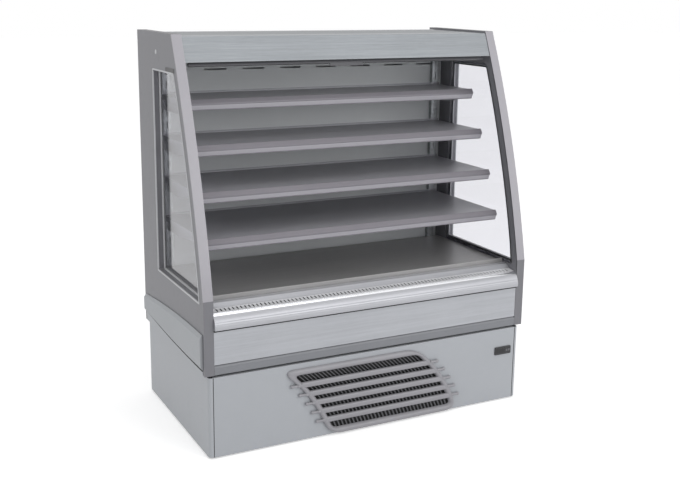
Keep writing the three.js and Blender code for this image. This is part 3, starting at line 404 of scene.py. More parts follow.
def makeTone():  # cloudy change of shade over a panel, and a finer one within it
    tree, given, put = newGroup("panelTone", [("Colour", "Color", None), ("Scale", "Float", 3.0),
                                              ("Amount", "Float", 0.05)], ["Colour"], "Color")
    broad = noiseNode(given["Vector"], given["Scale"], 2, 0.5)
    fine = noiseNode(given["Vector"], mathNode("MULTIPLY", given["Scale"], 14), 4, 0.6)
    both = mathNode("ADD", broad, mathNode("MULTIPLY", fine, 0.4))
    swing = mathNode("MULTIPLY", mathNode("SUBTRACT", both, 0.7), given["Amount"])
    factor = mathNode("MULTIPLY_ADD", swing, 4, 1)
    feed(put["Colour"], shadedColour(given["Colour"], factor))
    return tree


def makeGrain():  # fine streaks along one direction, from brushing or drawing the metal
    tree, given, put = newGroup("brushedGrain", [("Stretch", "Vector", (1, 60, 60)), ("Scale", "Float", 12.0)],
                                ["Streaks", "Bands"])
    drawn = addNode(tree, "VectorMath", {0: given["Vector"], 1: given["Stretch"]},
                    operation="MULTIPLY").outputs[0]
    fine = noiseNode(drawn, given["Scale"], 5, 0.65)
    wide = noiseNode(drawn, mathNode("MULTIPLY", given["Scale"], 0.12), 2, 0.5)
    feed(put["Streaks"], rangeNode(fine, 0.3, 0.7, 0, 1))
    feed(put["Bands"], rangeNode(wide, 0.3, 0.7, 0, 1))
    return tree


def makeEdgeWearAndHighlight():  # a mask along outer edges, broken up: where paint is rubbed thin on coated finishes, and a painted highlight along the edges of the brushed metals
    tree, given, put = newGroup("edgeWearAndHighlight", [("Radius", "Float", 0.002), ("Amount", "Float", 0.5)], ["Mask"])
    soft = addNode(tree, "Bevel", {"Radius": given["Radius"]}, samples=4).outputs["Normal"]
    true = addNode(tree, "NewGeometry").outputs["Normal"]
    dot = addNode(tree, "VectorMath", {0: soft, 1: true}, operation="DOT_PRODUCT").outputs["Value"]
    edge = rangeNode(dot, 0.995, 0.8, 0, 1)
    broken = rangeNode(noiseNode(given["Vector"], 90, 4, 0.7), 0.35, 0.65, 0.25, 1)
    wornAndLitEdges = mathNode("MULTIPLY", edge, broken)
    feed(put["Mask"], mathNode("MULTIPLY", wornAndLitEdges, given["Amount"], clamp=True))
    return tree


def makeDust():  # thin dust that settles on what faces up
    tree, given, put = newGroup("settledDust", [("Amount", "Float", 0.3)], ["Mask"])
    normal = addNode(tree, "NewGeometry").outputs["Normal"]
    upward = rangeNode(addNode(tree, "SeparateXYZ", {0: normal}).outputs["Z"], 0.4, 1, 0, 1)
    patchy = rangeNode(noiseNode(given["Vector"], 22, 6, 0.65), 0.3, 0.75, 0.1, 1)
    settled = mathNode("MULTIPLY", upward, patchy)
    feed(put["Mask"], mathNode("MULTIPLY", settled, given["Amount"], clamp=True))
    return tree


def makeScuffs():  # hair-thin wiping marks, seen in the gloss only
    tree, given, put = newGroup("wipingMarks", [("Amount", "Float", 0.1)], ["Rough"])
    marks = []
    for stretch, turn in (((3, 40, 40), 0.3), ((40, 3, 3), -0.5)):
        mapped = addNode(tree, "Mapping", {"Vector": given["Vector"], "Rotation": (turn, turn, turn),
                                           "Scale": stretch}).outputs[0]
        marks.append(rangeNode(noiseNode(mapped, 6, 6, 0.8), 0.55, 0.75, 0, 1))
    total = mathNode("ADD", *marks, clamp=True)
    feed(put["Rough"], mathNode("MULTIPLY", total, given["Amount"]))
    return tree


effects = {"tone": makeTone(), "grain": makeGrain(), "edges": makeEdgeWearAndHighlight(), "dust": makeDust(),
           "scuffs": makeScuffs()}
dustColour = colour(186, 182, 174)
finishes = {}


def effect(name, vector, **values):  # places one shared effect with its own values
    return addNode(vector, "Group", {"Vector": vector, **values}, node_tree=effects[name]).outputs


def newFinish(name, plain=()):  # plain values go to the shader's own sockets
    material = finishes[name] = bpy.data.materials.new(name)
    material.use_nodes = True
    shader = material.node_tree.nodes["Principled BSDF"].inputs
    for label, value in dict(plain).items():
        shader[label].default_value = value
    return shader, addNode(material.node_tree, "TexCoord").outputs["Object"]


def addRelief(shader, height, distance):
    bump = addNode(height, "Bump", {"Strength": 1.0, "Distance": distance, "Height": height})
    feed(shader["Normal"], bump.outputs["Normal"])


# Powder-coated or painted steel, and moulded plastic: orange peel or grain, wiping marks, edges, dust.
def coated(name, shade, bare=None, rough=0.45, cloud=3.0, clouding=0.03, edge=0.0015, wear=0.25, dust=0.12,
           marks=0.08, peel=420, depth=0.00006, metallic=0.0):
    shader, spot = newFinish(name, {"Metallic": metallic})
    toned = effect("tone", spot, Colour=shade, Scale=cloud, Amount=clouding)[0]
    wornAndLitEdges = effect("edges", spot, Radius=edge, Amount=wear)[0]
    lit = mixedColour(wornAndLitEdges, toned, colour(*bare) if bare else (0.55, 0.55, 0.56, 1))
    dusty = effect("dust", spot, Amount=dust)[0]
    feed(shader["Base Color"], mixedColour(dusty, lit, dustColour))
    gloss = mathNode("ADD", effect("scuffs", spot, Amount=marks)[0], rough)
    gloss = mathNode("ADD", gloss, mathNode("MULTIPLY", dusty, 0.3), clamp=True)
    feed(shader["Roughness"], gloss)
    addRelief(shader, noiseNode(spot, peel, 2, 0.5), depth)


# Brushed, drawn or rolled metal: streaks along one direction in colour, gloss and relief, and a painted
# highlight along the edges.
def brushed(name, shade, bare=(226, 227, 230), rough=0.35, streak=0.10, stretch=(1, 60, 60), grain=14.0,
            cloud=2.5, clouding=0.04, edge=0.0012, wear=0.6, dust=0.06, marks=0.1, depth=0.00004, metallic=1.0):
    shader, spot = newFinish(name, {"Metallic": metallic})
    lines = effect("grain", spot, Stretch=stretch, Scale=grain)
    toned = effect("tone", spot, Colour=shade, Scale=cloud, Amount=clouding)[0]
    fine = rangeNode(lines["Streaks"], 0, 1, 1 - streak, 1 + streak)
    wide = rangeNode(lines["Bands"], 0, 1, 1 - streak * 0.7, 1 + streak * 0.7)
    streaked = shadedColour(toned, mathNode("MULTIPLY", fine, wide))
    # on these metals the lighter edge colour is a painted highlight along the edges
    wornAndLitEdges = effect("edges", spot, Radius=edge, Amount=wear)[0]
    edged = mixedColour(wornAndLitEdges, streaked, colour(*bare))
    dusty = effect("dust", spot, Amount=dust)[0]
    feed(shader["Base Color"], mixedColour(dusty, edged, dustColour))
    gloss = rangeNode(lines["Streaks"], 0, 1, rough - 0.05, rough + 0.07)
    scuffed = effect("scuffs", spot, Amount=marks)[0]
    feed(shader["Roughness"], mathNode("ADD", gloss, scuffed, clamp=True))
    addRelief(shader, lines["Streaks"], depth)


# Hot-dip galvanised sheet with its spangle.
def galvanised(name, shade, spangle=90, metallic=0.85):
    shader, spot = newFinish(name, {"Metallic": metallic})
    cells = addNode(spot, "TexVoronoi", {"Scale": spangle, "Vector": spot}).outputs["Color"]
    split = addNode(spot, "SeparateColor", {0: cells}).outputs
    toned = effect("tone", spot, Colour=shade, Scale=3.0, Amount=0.06)[0]
    facets = rangeNode(split[0], 0, 1, 0.86, 1.14)
    feed(shader["Base Color"], shadedColour(toned, facets))
    scuffed = effect("scuffs", spot, Amount=0.15)[0]
    gloss = rangeNode(split[1], 0, 1, 0.34, 0.5)
    feed(shader["Roughness"], mathNode("ADD", gloss, scuffed, clamp=True))
    addRelief(shader, split[2], 0.00005)


# Clear sheet with faint wiping marks.
def clearGlass(name, shade, marks=0.03, rough=0.01):
    shader, spot = newFinish(name, {"Transmission Weight": 1.0, "IOR": 1.45})
    tone = effect("tone", spot, Colour=shade, Scale=2.0, Amount=0.01)[0]
    feed(shader["Base Color"], tone)
    scuffed = effect("scuffs", spot, Amount=marks)[0]
    feed(shader["Roughness"], mathNode("ADD", scuffed, rough))


# Woven blind cloth: warp and weft over the sheet.
def woven(name, shade, threads=320.0):
    shader, spot = newFinish(name)
    sets = [addNode(spot, "TexWave", {"Scale": threads, "Distortion": 0.4, "Vector": spot},
                    bands_direction=direction).outputs["Fac"] for direction in ("X", "Z")]
    weave = mathNode("MULTIPLY", *sets)
    toned = effect("tone", spot, Colour=shade, Scale=5.0, Amount=0.03)[0]
    feed(shader["Base Color"], shadedColour(toned, rangeNode(weave, 0, 1, 0.86, 1.05)))
    feed(shader["Roughness"], rangeNode(weave, 0, 1, 0.75, 0.6))
    addRelief(shader, weave, 0.0002)


# The lamp's phosphor coat, brighter in the middle of the tube than at its ends.
def glowing(name, shade, half=0.545, glow=1.3):
    shader, spot = newFinish(name, {"Emission Strength": glow, "Roughness": 0.25})
    across = addNode(spot, "SeparateXYZ", {0: spot}).outputs["X"]
    ends = rangeNode(mathNode("ABSOLUTE", across), half - 0.06, half, 1, 0.35)
    toned = effect("tone", spot, Colour=shade, Scale=8.0, Amount=0.02)[0]
    feed(shader["Base Color"], toned)
    feed(shader["Emission Color"], shadedColour(toned, ends))


moulded = {"peel": 900, "depth": 0.00005, "wear": 0.2}  # fine grain of small plastic parts
finishTable = {
    "base_paint": (coated, (165, 168, 173), dict(rough=0.42, clouding=0.025, cloud=2.0)),
    "end_panel": (coated, (113, 113, 118), dict(rough=0.42, wear=0.3, bare=(162, 161, 166))),
    "brushed_panel": (brushed, (165, 167, 172), dict(rough=0.38, streak=0.07, metallic=0.5)),
    "fascia_steel": (brushed, (141, 145, 149), dict(rough=0.4, streak=0.13, metallic=0.4)),
    "trim_paint": (coated, (121, 123, 128), dict(rough=0.4)),
    "silver_profile": (brushed, (172, 173, 178), dict(rough=0.34, streak=0.05, grain=18.0, metallic=0.35)),
    "moulding_plastic": (coated, (161, 164, 168),
                         dict(rough=0.5, peel=700, depth=0.0001, wear=0.35, bare=(205, 208, 210))),
    "grille_plastic": (coated, (145, 144, 149), dict(moulded, rough=0.38, bare=(190, 190, 195))),
    "shelf_paint": (coated, (150, 150, 156), dict(rough=0.4, metallic=0.2)),
    "rail_plastic": (coated, (116, 113, 120), dict(moulded, rough=0.4, depth=0.00004, bare=(170, 168, 176))),
    "deck_steel": (brushed, (156, 155, 155), dict(rough=0.38, streak=0.06, metallic=0.35)),
    "liner_panel": (coated, (216, 217, 220), dict(rough=0.4, clouding=0.02)),
    "liner_paint": (coated, (205, 208, 210), dict(clouding=0.02)),
    "end_glass": (clearGlass, (236, 236, 241), {}),
    "black_plastic": (coated, (38, 38, 41), dict(moulded, rough=0.35, wear=0.1, bare=(80, 80, 84), dust=0.05)),
    "key_plastic": (coated, (96, 96, 100), dict(moulded, bare=(130, 130, 134))),
    "black_paint": (coated, (34, 34, 36), dict(rough=0.4, wear=0.3, bare=(110, 110, 112))),
    "galvanised": (galvanised, (165, 168, 170), {}),
    "coil_fins": (brushed, (190, 192, 194), dict(stretch=(60, 60, 2), dust=0.3, metallic=0.9)),
    "copper_pipe": (brushed, (196, 118, 78), dict(rough=0.3, streak=0.12)),
    "lamp_white": (coated, (236, 237, 235), dict(rough=0.35, dust=0.05)),
    # dark grey, partly painted shade for the dark space under the canopy
    "blind_bar": (brushed, (74, 74, 78), dict(rough=0.4, streak=0.05, bare=(120, 120, 124), metallic=0.2)),
    "blind_cloth": (woven, (205, 208, 212), {}),
    # finishes of the small fittings
    # a darker copy of the grille plastic: painted shade on the ribs behind the bars
    "grilleRibs": (coated, (98, 98, 102), dict(moulded, bare=(140, 140, 144))),
    # lighter than the silver profile: painted light on the up-facing slotted band, for the canopy lamp's light
    # falling on it
    "airBand": (brushed, (222, 223, 226), dict(rough=0.34, streak=0.03, metallic=0.2)),
    "polishedEdge": (brushed, (246, 247, 250), dict(rough=0.2, streak=0.03)),
    "roofPaint": (coated, (128, 131, 135), dict(rough=0.5, dust=0.08)),
    # lighter than the end panel: partly painted light on the front of the post
    "postProfile": (coated, (160, 158, 164), dict(rough=0.36, wear=0.5, bare=(206, 205, 210))),
    "topCapping": (coated, (92, 91, 96), dict(wear=0.2, bare=(140, 140, 145))),
    "gasketRubber": (coated, (196, 197, 200), dict(rough=0.6, peel=500, wear=0.0, dust=0.1)),
    "screwSteel": (brushed, (188, 189, 190), dict(rough=0.25, stretch=(20, 20, 20))),
    "lampGlow": (glowing, (248, 248, 242), {}),
    # lighter than the rail: partly a painted reflection on the strip's glossy face
    "ticketStrip": (coated, (164, 162, 169),
                    dict(rough=0.22, peel=60, depth=0.0002, wear=0.0, dust=0.02, marks=0.1)),
    "displayGlass": (coated, (20, 20, 24), dict(rough=0.12, peel=40, depth=0.00002, wear=0.0, dust=0.04)),
    "rubberBlack": (coated, (30, 30, 31), dict(rough=0.7, peel=300, depth=0.0001, wear=0.0, dust=0.3)),
}
for name, (make, shade, look) in finishTable.items():
    make(name, colour(*shade), **look)
print("finishes made:", len(finishes))

# Pieces whose CAD shape is right get their real folded, moulded or rolled edges, by how their names start.
edgeRadii = {
    0.0030: ("insulated_back", "insulated_roof"),
    0.0026: ("end_frame", "side_moulding"),
    0.0020: ("base_frame", "electrical_box", "insulated_tub"),
    0.0015: ("condenser_fan_motor",),
    0.0011: ("end_glass", "blind_bar"),
    0.0008: ("base_side", "base_front_panel", "evaporation_tray", "front_panel", "lower_trim", "deck_pan",
             "canopy_fascia", "shelf_tray"),
    0.0006: ("condenser_shroud", "evaporator_fan_plate", "inner_back_panel", "upright", "shelf_bracket",
             "base_back_panel"),
}
moulding = {"drop": 0.014, "bevelIn": 0.006, "bevelDown": 0.009, "cuts": 12, "crown": 0.011, "belly": 0.007,
            "middle": 0.395, "topFrom": (0.45, 0.41), "rearEnd": (0.3, 0.39), "rise": 0.0377, "endGap": 0.002}


def shapeMoulding(piece):  # broad bevel on top, lower edge dropped at the back, both edges slightly arched
    places = [vertex.co for vertex in piece.data.vertices]
    outer = max(abs(spot.x) for spot in places)
    start, end = (pick(spot.y for spot in places) for pick in (min, max))
    rearY, rearZ = moulding["rearEnd"]
    for spot in places:
        top = moulding["topFrom"][spot.y >= 0]
        if spot.y > rearY and spot.z < rearZ:
            spot.z -= moulding["drop"]
        elif spot.z > top and outer - 0.003 < abs(spot.x) < outer - 0.001:
            spot.x -= math.copysign(moulding["bevelIn"], spot.x)
        elif spot.z > top and abs(spot.x) >= outer - 0.001:
            spot.z -= moulding["bevelDown"]
    openEdit(piece)
    for i in range(1, moulding["cuts"]):
        selectAll()
        edit.bisect(plane_co=(0, start + (end - start) * i / moulding["cuts"], 0), plane_no=(0, 1, 0))
    closeEdit()
    for vertex in piece.data.vertices:
        spot = vertex.co
        arch = 1 - (2 * (spot.y - start) / (end - start) - 1) ** 2
        spot.z += arch * (moulding["crown"] if spot.z > moulding["middle"] else -moulding["belly"])


for radius, starts in edgeRadii.items():
    for node in [name for name in nodeBody if name.startswith(starts)]:
        piece = nodeCopy(node + "_piece", node)
        if node.startswith("side_moulding"):
            shapeMoulding(piece)
        roundEdges(piece, radius, 3 if radius > 0.002 else 2)
        finish = "roofPaint" if node == "insulated_roof" else None
        finished(piece, nodeBody[node], nodeSlot[node], [node], finish=finish)
        if node.startswith("end_frame"):  # their tops carry a darker capping
            addFinish(piece, "topCapping", lambda centre, normal: normal.z > 0.5 and centre.z > 1.4)
print("edges rounded")

# End frames: seals and light lips round the windows, post profiles, joints, a near-black strip under each
# moulding that is its painted shadow, a cover plate and a screw cap.
window = {"rebate": 0.0103, "sealWidth": 0.007, "sealProud": 0.004, "sealRound": 0.001, "lipOver": 0.0045,
          "lipIn": 0.0012, "lipDeep": 0.003, "lipProud": 0.0012, "lipRound": 0.0006}
post = {"lip": 0.0009, "proud": 0.0009, "wrap": 0.005, "round": 0.0007, "painted": 0.5}
endFittings = {"plateLow": (-0.084, 1.3185), "plateHigh": (0.010, 1.3335), "plateProud": 0.0012,
               "cap": (0.122, 1.380), "capRadius": 8.5}


def windowFrame(name, glass, side, margin, width, height, radius, seat=None):  # a strip round the glass
    strip = nodeCopy(name, glass)
    outer = max(vertex.co.x * side for vertex in strip.data.vertices) * side
    openEdit(strip, "FACE")
    pickFaces(strip, lambda centre, normal: normal.x * side < 0.9)
    edit.delete(type="FACE")
    selectAll()
    edit.inset(thickness=margin)
    edit.select_all(action="INVERT")
    edit.delete(type="FACE")
    selectAll()
    edit.inset(thickness=width)
    edit.delete(type="FACE")
    selectAll()
    if seat is not None:
        bpy.ops.transform.translate(value=(seat - outer, 0, 0))
    pullOut((side * height, 0, 0))
    faceOut()
    closeEdit()
    roundEdges(strip, radius)
    finished(strip, "case", "end_panel", finish="gasketRubber")


def postProfile(side, label):  # an extrusion that caps the front of the end frame
    node = "end_frame_" + label
    low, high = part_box(node)
    middle = (low.x + high.x) / 2
    cap = nodeCopy("post_profile_" + label, node)
    openEdit(cap, "FACE")
    pickFaces(cap, lambda centre, normal: normal.y > -0.5 or centre.y > -0.05 or abs(centre.x - middle) > 0.003)
    edit.delete(type="FACE")
    selectAll()
    inner = low.x if side > 0 else high.x
    bpy.ops.transform.resize(value=(1 + post["lip"] / (high.x - low.x), 1, 1), center_override=(inner, 0, 0))
    bpy.ops.transform.shrink_fatten(value=post["proud"])
    closeEdit()
    thicken(cap, post["wrap"], -1)
    for vertex in cap.data.vertices:  # it ends just under the frame's top
        vertex.co.z = min(vertex.co.z, high.z - 0.0002)
    roundEdges(cap, post["round"])
    finished(cap, "case", "end_panel", finish="postProfile")
    # the frame's own darker paint beside the nosing and below, the lighter finish on the slope: painted shade
    # below and painted light on the slope, where light falls
    addFinish(cap, "end_panel", lambda centre, normal: centre.z < post["painted"])


def cornerSeal(side, label):  # the dark joint between the front of the base and its side
    low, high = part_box("base_side_" + label)
    inner = high.x if side < 0 else low.x
    left, right = sorted((inner - side * 0.0002, inner + side * 0.0022))
    seal = newBlock("corner_seal_" + label, (left, low.y - 0.0004, low.z + 0.001),
                    (right, low.y + 0.001, high.z - 0.001), 0.0004)
    finished(seal, "case", "base_paint", finish="rubberBlack")


def underMoulding(name, side, label, over, under, thick, finish):  # a strip that follows its lower edge
    low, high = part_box("side_moulding_" + label)
    face = high.x if side < 0 else low.x
    edge = []
    for i in range(moulding["cuts"] + 1):
        share = i / moulding["cuts"]
        arch = moulding["belly"] * (1 - (2 * share - 1) ** 2)
        z = low.z + share * (moulding["rise"] - moulding["drop"]) - arch
        edge.append((low.y + moulding["endGap"] + (high.y - low.y - 2 * moulding["endGap"]) * share, z))
    foot = [(y, under if under > 0 else z + under) for y, z in edge]
    points = [(face, y, z + over) for y, z in edge] + [(face, y, z) for y, z in foot[::-1]]
    strip = drawnOutline(name + label, points, (side * thick, 0, 0))
    roundEdges(strip, 0.0004)
    finished(strip, "case", "moulding_plastic", finish=finish)


def coverPlate(name, face):  # a shallow recessed plate above the left window
    plate = newBlock(name, (face - endFittings["plateProud"], *endFittings["plateLow"]),
                     (face + 0.001, *endFittings["plateHigh"]))
    insetFaces(plate, lambda centre, normal: normal.x < -0.9, (0.0015, 0), (0.0006, -0.0007))
    roundEdges(plate, 0.0004)
    return plate


def screwCap(name, face):
    shape = ((0.0, 2.2), (0.45, 2.1), (0.8, 1.6), (1.0, 0.6), (1.0, -0.5))
    profile = [(face - up / 1000, endFittings["capRadius"] * out) for out, up in shape]
    return turnedAcross(name, profile, *endFittings["cap"], 28)


for side, label in bothSides:
    glass = "end_glass_" + label
    windowFrame("window_seal_" + label, glass, side, window["rebate"], window["sealWidth"],
                window["sealProud"], window["sealRound"])
    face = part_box("end_frame_" + label)[side > 0].x
    windowFrame("window_trim_" + label, glass, side, window["rebate"] - window["lipOver"],
                window["lipOver"] + window["lipIn"], window["lipDeep"] + window["lipProud"],
                window["lipRound"], face - side * window["lipDeep"])
    postProfile(side, label)
    # below each moulding a thin near-black strip: painted shadow of the moulding on the frame
    underMoulding("moulding_shadow_strip_", side, label, 0.002, -0.003, 0.003, "rubberBlack")
    underMoulding("moulding_flange_", side, label, 0.001, 0.3095, 0.0012, "base_paint")
    cornerSeal(side, label)

for make, name, slot, finish in ((coverPlate, "end_plate", "black_plastic", None),
                                 (screwCap, "end_cap", "end_panel", "gasketRubber")):
    left = make(name + "_left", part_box("end_frame_left")[0].x)
    finished(mirrored(left, name + "_right"), "case", slot, finish=finish)
    finished(left, "case", slot, finish=finish)
print("end frames dressed")

# Nosing: a drawn profile with a broad top band, a round front and grooves, in mm from the front of the base.
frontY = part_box("front_panel")[0].y  # the front of the base and of the cabinet
nosing = {"profile": [(18, 527.3), (15, 526.3), (14, 524.9), (12.6, 524.5), (11.6, 524.9), (3.5, 519.9),
                      (-3.4, 512.9), (-8.2, 505.2), (-10.4, 500.7), (-9.7, 499.3), (-11.3, 498.1),
                      (-13.3, 493), (-12.5, 491.4), (-13.9, 490.1), (-14.9, 485), (-14.9, 478.6),
                      (-13.9, 474.6), (-12, 471.4), (-10, 470.6), (15, 470.6), (18, 474)],
          "gasket": (-4.5, 12, 464.4, 470.8), "polished": (3, 15.5, 519)}


def makeNosing():
    low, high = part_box("nosing")
    section = [(frontY + y / 1000, z / 1000) for y, z in nosing["profile"]]
    profile = drawnAcross("nosing_profile", section, low.x, high.x)
    roundEdges(profile, 0.0005, 2, 20)
    front, back, under, over = (value / 1000 for value in nosing["gasket"])
    gasket = newBlock("nosing_gasket", (low.x, frontY + front, under), (high.x, frontY + back, over), 0.001)
    finished(gasket, "case", "silver_profile", finish="rubberBlack")
    finished(profile, "case", "silver_profile", ["nosing"], 30)
    start, end, above = (value / 1000 for value in nosing["polished"])
    addFinish(profile, "polishedEdge", lambda centre, normal: start < centre.y - frontY < end
              and centre.z > above and normal.z > 0.5)


# Return air strip: one slotted cell, repeated along the case and given its thickness.
airStrip = {"pitch": 0.01495, "margin": 0.012, "web": 0.0051, "round": 0.0018, "sheet": 0.0009,
            "section": [(18.6, 518), (18.6, 527.6), (50, 531.2), (66, 546), (94, 546), (94, 542)]}


def makeAirStrip():
    low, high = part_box("return_grille")
    pitch = airStrip["pitch"]
    count = int((high.x - low.x - 2 * airStrip["margin"]) / pitch)
    start = (low.x + high.x - count * pitch) / 2
    end = start + count * pitch
    section = [(frontY + y / 1000, z / 1000) for y, z in airStrip["section"]]
    slotted, sloping = (section[1][0] + section[2][0]) / 2, section[2][0]
    middle = start + pitch / 2
    cell, *ends = [drawnAcross("air_cell", section, *limits, closed=False)
                   for limits in ((start, start + pitch), (low.x, start), (end, high.x))]
    openEdit(cell, "FACE")
    pickFaces(cell, lambda centre, normal: abs(centre.y - slotted) < 0.001)
    edit.inset(thickness=airStrip["web"])
    edit.bevel(affect="VERTICES", offset=airStrip["round"], segments=4)
    pickFaces(cell, lambda centre, normal: abs(centre.y - slotted) < 0.001 and abs(centre.x - middle) < 0.0005)
    edit.delete(type="FACE")
    closeEdit()
    repeat(cell, count, (pitch, 0, 0), use_merge_vertices=True, merge_threshold=0.00002)
    strip = joined("air_strip", [cell, *ends])
    openEdit(strip, "VERT")
    weld(0.00002)
    closeEdit()
    if sum(face.normal.z * face.area for face in strip.data.polygons) < 0:  # an open sheet may face down
        openEdit(strip, "FACE")
        edit.flip_normals()
        closeEdit()
    thicken(strip, airStrip["sheet"], -1)
    # the slotted band gets the lighter copy of the silver finish, painted light; the slope behind keeps the
    # plain one
    finished(strip, "case", nodeSlot["return_grille"], ["return_grille"], 40, finish="airBand")
    addFinish(strip, "silver_profile", lambda centre, normal: centre.y > sloping + 0.0005)


# Ticket rails: a plastic profile with a lighter strip held in its lower half, its lighter colour partly a
# painted reflection, in mm.
railShape = {"body": [(12, 0), (10.4, 0), (9.4, -0.9), (1.5, -11.9), (0.2, -13.9), (0, -16), (0, -19.4),
                      (0.5, -20.6), (2.2, -21.6), (3, -22.6), (9.1, -35.9), (8.6, -36.9), (8.9, -38.6),
                      (9.8, -40), (12, -40)],
             "strip": [(1.1, -21.2), (2.3, -22.3), (8.5, -35.6), (8.1, -36.7), (7.2, -36.2), (0.9, -22.7)]}


def ticketRail(level):
    node = "price_rail_" + level
    low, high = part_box(node)
    parts = []
    for part, inset in (("body", 0), ("strip", 0.003)):
        section = [(low.y + y / 1000, high.z + z / 1000) for y, z in railShape[part]]
        parts.append(drawnAcross("ticket_" + part + "_" + level, section, low.x + inset, high.x - inset))
    body, strip = parts
    roundEdges(body, 0.0005, 2, 20)
    finished(body, "shelf_" + level, "rail_plastic", [node], 30)
    finished(strip, "shelf_" + level, "rail_plastic", angle=25, finish="ticketStrip")


makeNosing()
makeAirStrip()
for level in "1234":
    ticketRail(level)
print("nosing and ticket rails made")

# Condenser grille, in mm from the front of the base: leaning rim, five louvre bars with pegs, ribs behind.
grille = {"arc": 600, "arcHeight": -185, "arcLeft": -736, "width": 511, "low": 30, "high": 256, "rim": 25,
          "innerRound": 20, "outerRound": 58, "bars": 5, "ribPitch": 15.5, "ribWidth": 4.6, "ribOver": 4,
          "ribFront": -0.8, "ribDepth": 6.8, "pegY": -6.8, "pegRadius": 6.3, "pegReach": 28,
          "shadeFilterFront": 6.6, "shadeFilterDepth": 3}
rimSection = [(25, -0.3), (25, -3.5), (24.2, -6.5), (22.5, -9.4), (19.8, -11.8), (16.2, -13.2), (12.5, -13.7),
              (9.3, -13.2), (6.2, -11.6), (3.6, -8.8), (1.6, -5.6), (0.4, -3), (0, -0.3)]
barSection = [(-2.6, -10.5), (-8, -10.4), (-10.6, -9.3), (-12.3, -7.2), (-13, -4), (-13.1, 0), (-13, 4),
              (-12.3, 7.2), (-10.6, 9.3), (-8, 10.4), (-2.6, 10.5)]


def grilleEdge(z, shift):
    return grille["arcLeft"] + shift + math.sqrt(grille["arc"] ** 2 - (z - grille["arcHeight"]) ** 2)


def roundedRing(corners, steps=8):  # a closed outline; each point has its own corner length
    ring = []
    for i, (x, z, reach) in enumerate(corners):
        here = Vector((x, z))
        before, after = (Vector(corners[j % len(corners)][:2]) for j in (i - 1, i + 1))
        if not reach:
            ring.append(here)
            continue
        enter = here + (before - here).normalized() * reach
        leave = here + (after - here).normalized() * reach
        for step in range(steps + 1):
            t = step / steps
            ring.append(enter * (1 - t) ** 2 + here * 2 * t * (1 - t) + leave * t ** 2)
    return ring


def grilleRing(margin):
    low, high = grille["low"] - margin, grille["high"] + margin
    reach = grille["innerRound"] + (grille["outerRound"] - grille["innerRound"]) * margin / grille["rim"]
    heights = [low + (high - low) * share for share in (0, 0.25, 0.375, 0.5, 0.625, 0.75, 1)]
    left = [(grilleEdge(z, -margin), z, 0) for z in heights]
    right = [(grilleEdge(z, grille["width"] + margin), z, 0) for z in heights]
    for side in (left, right):
        for end in (0, -1):
            side[end] = (*side[end][:2], reach)
    return roundedRing(left[::-1] + right)


def atFront(x, y, z):  # millimetres from the front of the base, as the scene's metres
    return (x / 1000, frontY + y / 1000, z / 1000)


def grilleRim():  # its section, drawn round the leaning window
    rows = []
    for margin, y in rimSection + rimSection[:1]:
        ring = grilleRing(margin)
        rows.append([atFront(point.x, y, point.y) for point in ring + ring[:1]])
    return shapedGrid("grille_rim", rows)


def grilleBar(z):
    left = grilleEdge(z, 0) - grille["rim"] / 2
    points = [atFront(left, y, z + up) for y, up in barSection]
    return drawnOutline("grille_bar", points, ((grille["width"] + grille["rim"]) / 1000, 0, 0))


def grillePeg():  # built about the origin, pointing left
    radius, reach = grille["pegRadius"], grille["pegReach"] + 2
    profile = [(reach, 0), (reach - 0.3, 0.45), (reach - 1.6, 0.8), (reach - 4, 1), (reach - 8.5, 1),
               (reach - 10.5, 0.86), (reach - 11.5, 0.74), (4, 0.74), (2.6, 0.86), (2, 1.1), (-8, 1.1)]
    return turnedAcross("grille_peg", [(-x / 1000, share * radius) for x, share in profile], 0, 0, 24)


def grilleRib():
    low, high = grille["low"] - grille["ribOver"], grille["high"] + grille["ribOver"]
    heights = [low + (high - low) * i / 6 for i in range(7)]
    half = grille["ribWidth"] / 2
    ring = [(grilleEdge(z, -half), z) for z in heights[::-1]] + [(grilleEdge(z, half), z) for z in heights]
    points = [atFront(x, grille["ribFront"], z) for x, z in ring]
    rib = drawnOutline("grille_rib", points, (0, grille["ribDepth"] / 1000, 0))
    roundEdges(rib, 0.0009, 1, 60)
    return rib


def makeGrille():
    rise = (grille["high"] - grille["low"]) / (grille["bars"] + 1)
    heights = [grille["low"] + rise * (i + 1) for i in range(grille["bars"])]
    parts = [grilleRim()] + [grilleBar(z) for z in heights]
    peg = grillePeg()
    pegRight = mirrored(peg, "grille_peg_right")
    for z in heights:
        left = grilleEdge(z, -grille["rim"])
        parts.append(copied(peg, atFront(left, grille["pegY"], z)))
        parts.append(copied(pegRight, atFront(left + grille["width"] + 2 * grille["rim"], grille["pegY"], z)))
    for part in parts:
        part.data.materials.append(finishes["grille_plastic"])
    count = int(grille["width"] // grille["ribPitch"])
    start = (grille["width"] - (count - 1) * grille["ribPitch"]) / 2
    rib = grilleRib()
    # the ribs take the darker copy of the grille plastic, painted shade behind the bars
    rib.data.materials.append(finishes["grilleRibs"])
    parts += [copied(rib, ((start + i * grille["ribPitch"]) / 1000, 0, 0)) for i in range(count)]
    for spare in (peg, pegRight, rib):
        bpy.data.objects.remove(spare)
    whole = joined("condenser_grille_piece", parts)
    finished(whole, "service_panel", "grille_plastic", ["condenser_grille"], 40)


def makeShadeFilter():  # the washable filter behind the grille, a thin mesh pad in a frame, made near-black as painted shade for the dark coil space behind it
    points = [atFront(spot.x, grille["shadeFilterFront"], spot.y) for spot in grilleRing(6)]
    pad = drawnOutline("intake_filter_shade", points, (0, grille["shadeFilterDepth"] / 1000, 0))
    insetFaces(pad, lambda centre, normal: abs(normal.y) > 0.9, (0.006, 0), (0.001, -0.0008))
    finished(pad, "service_panel", "black_plastic", finish="rubberBlack")


makeGrille()
makeShadeFilter()
print("grille made")

# Controller: bezel with a sunk display window, and its two keys.
controller = {"corner": 0.004, "window": (-0.033, 0.010), "windowHalf": 0.011, "rearHalf": (0.035, 0.013),
              "keyCorner": 0.0016}


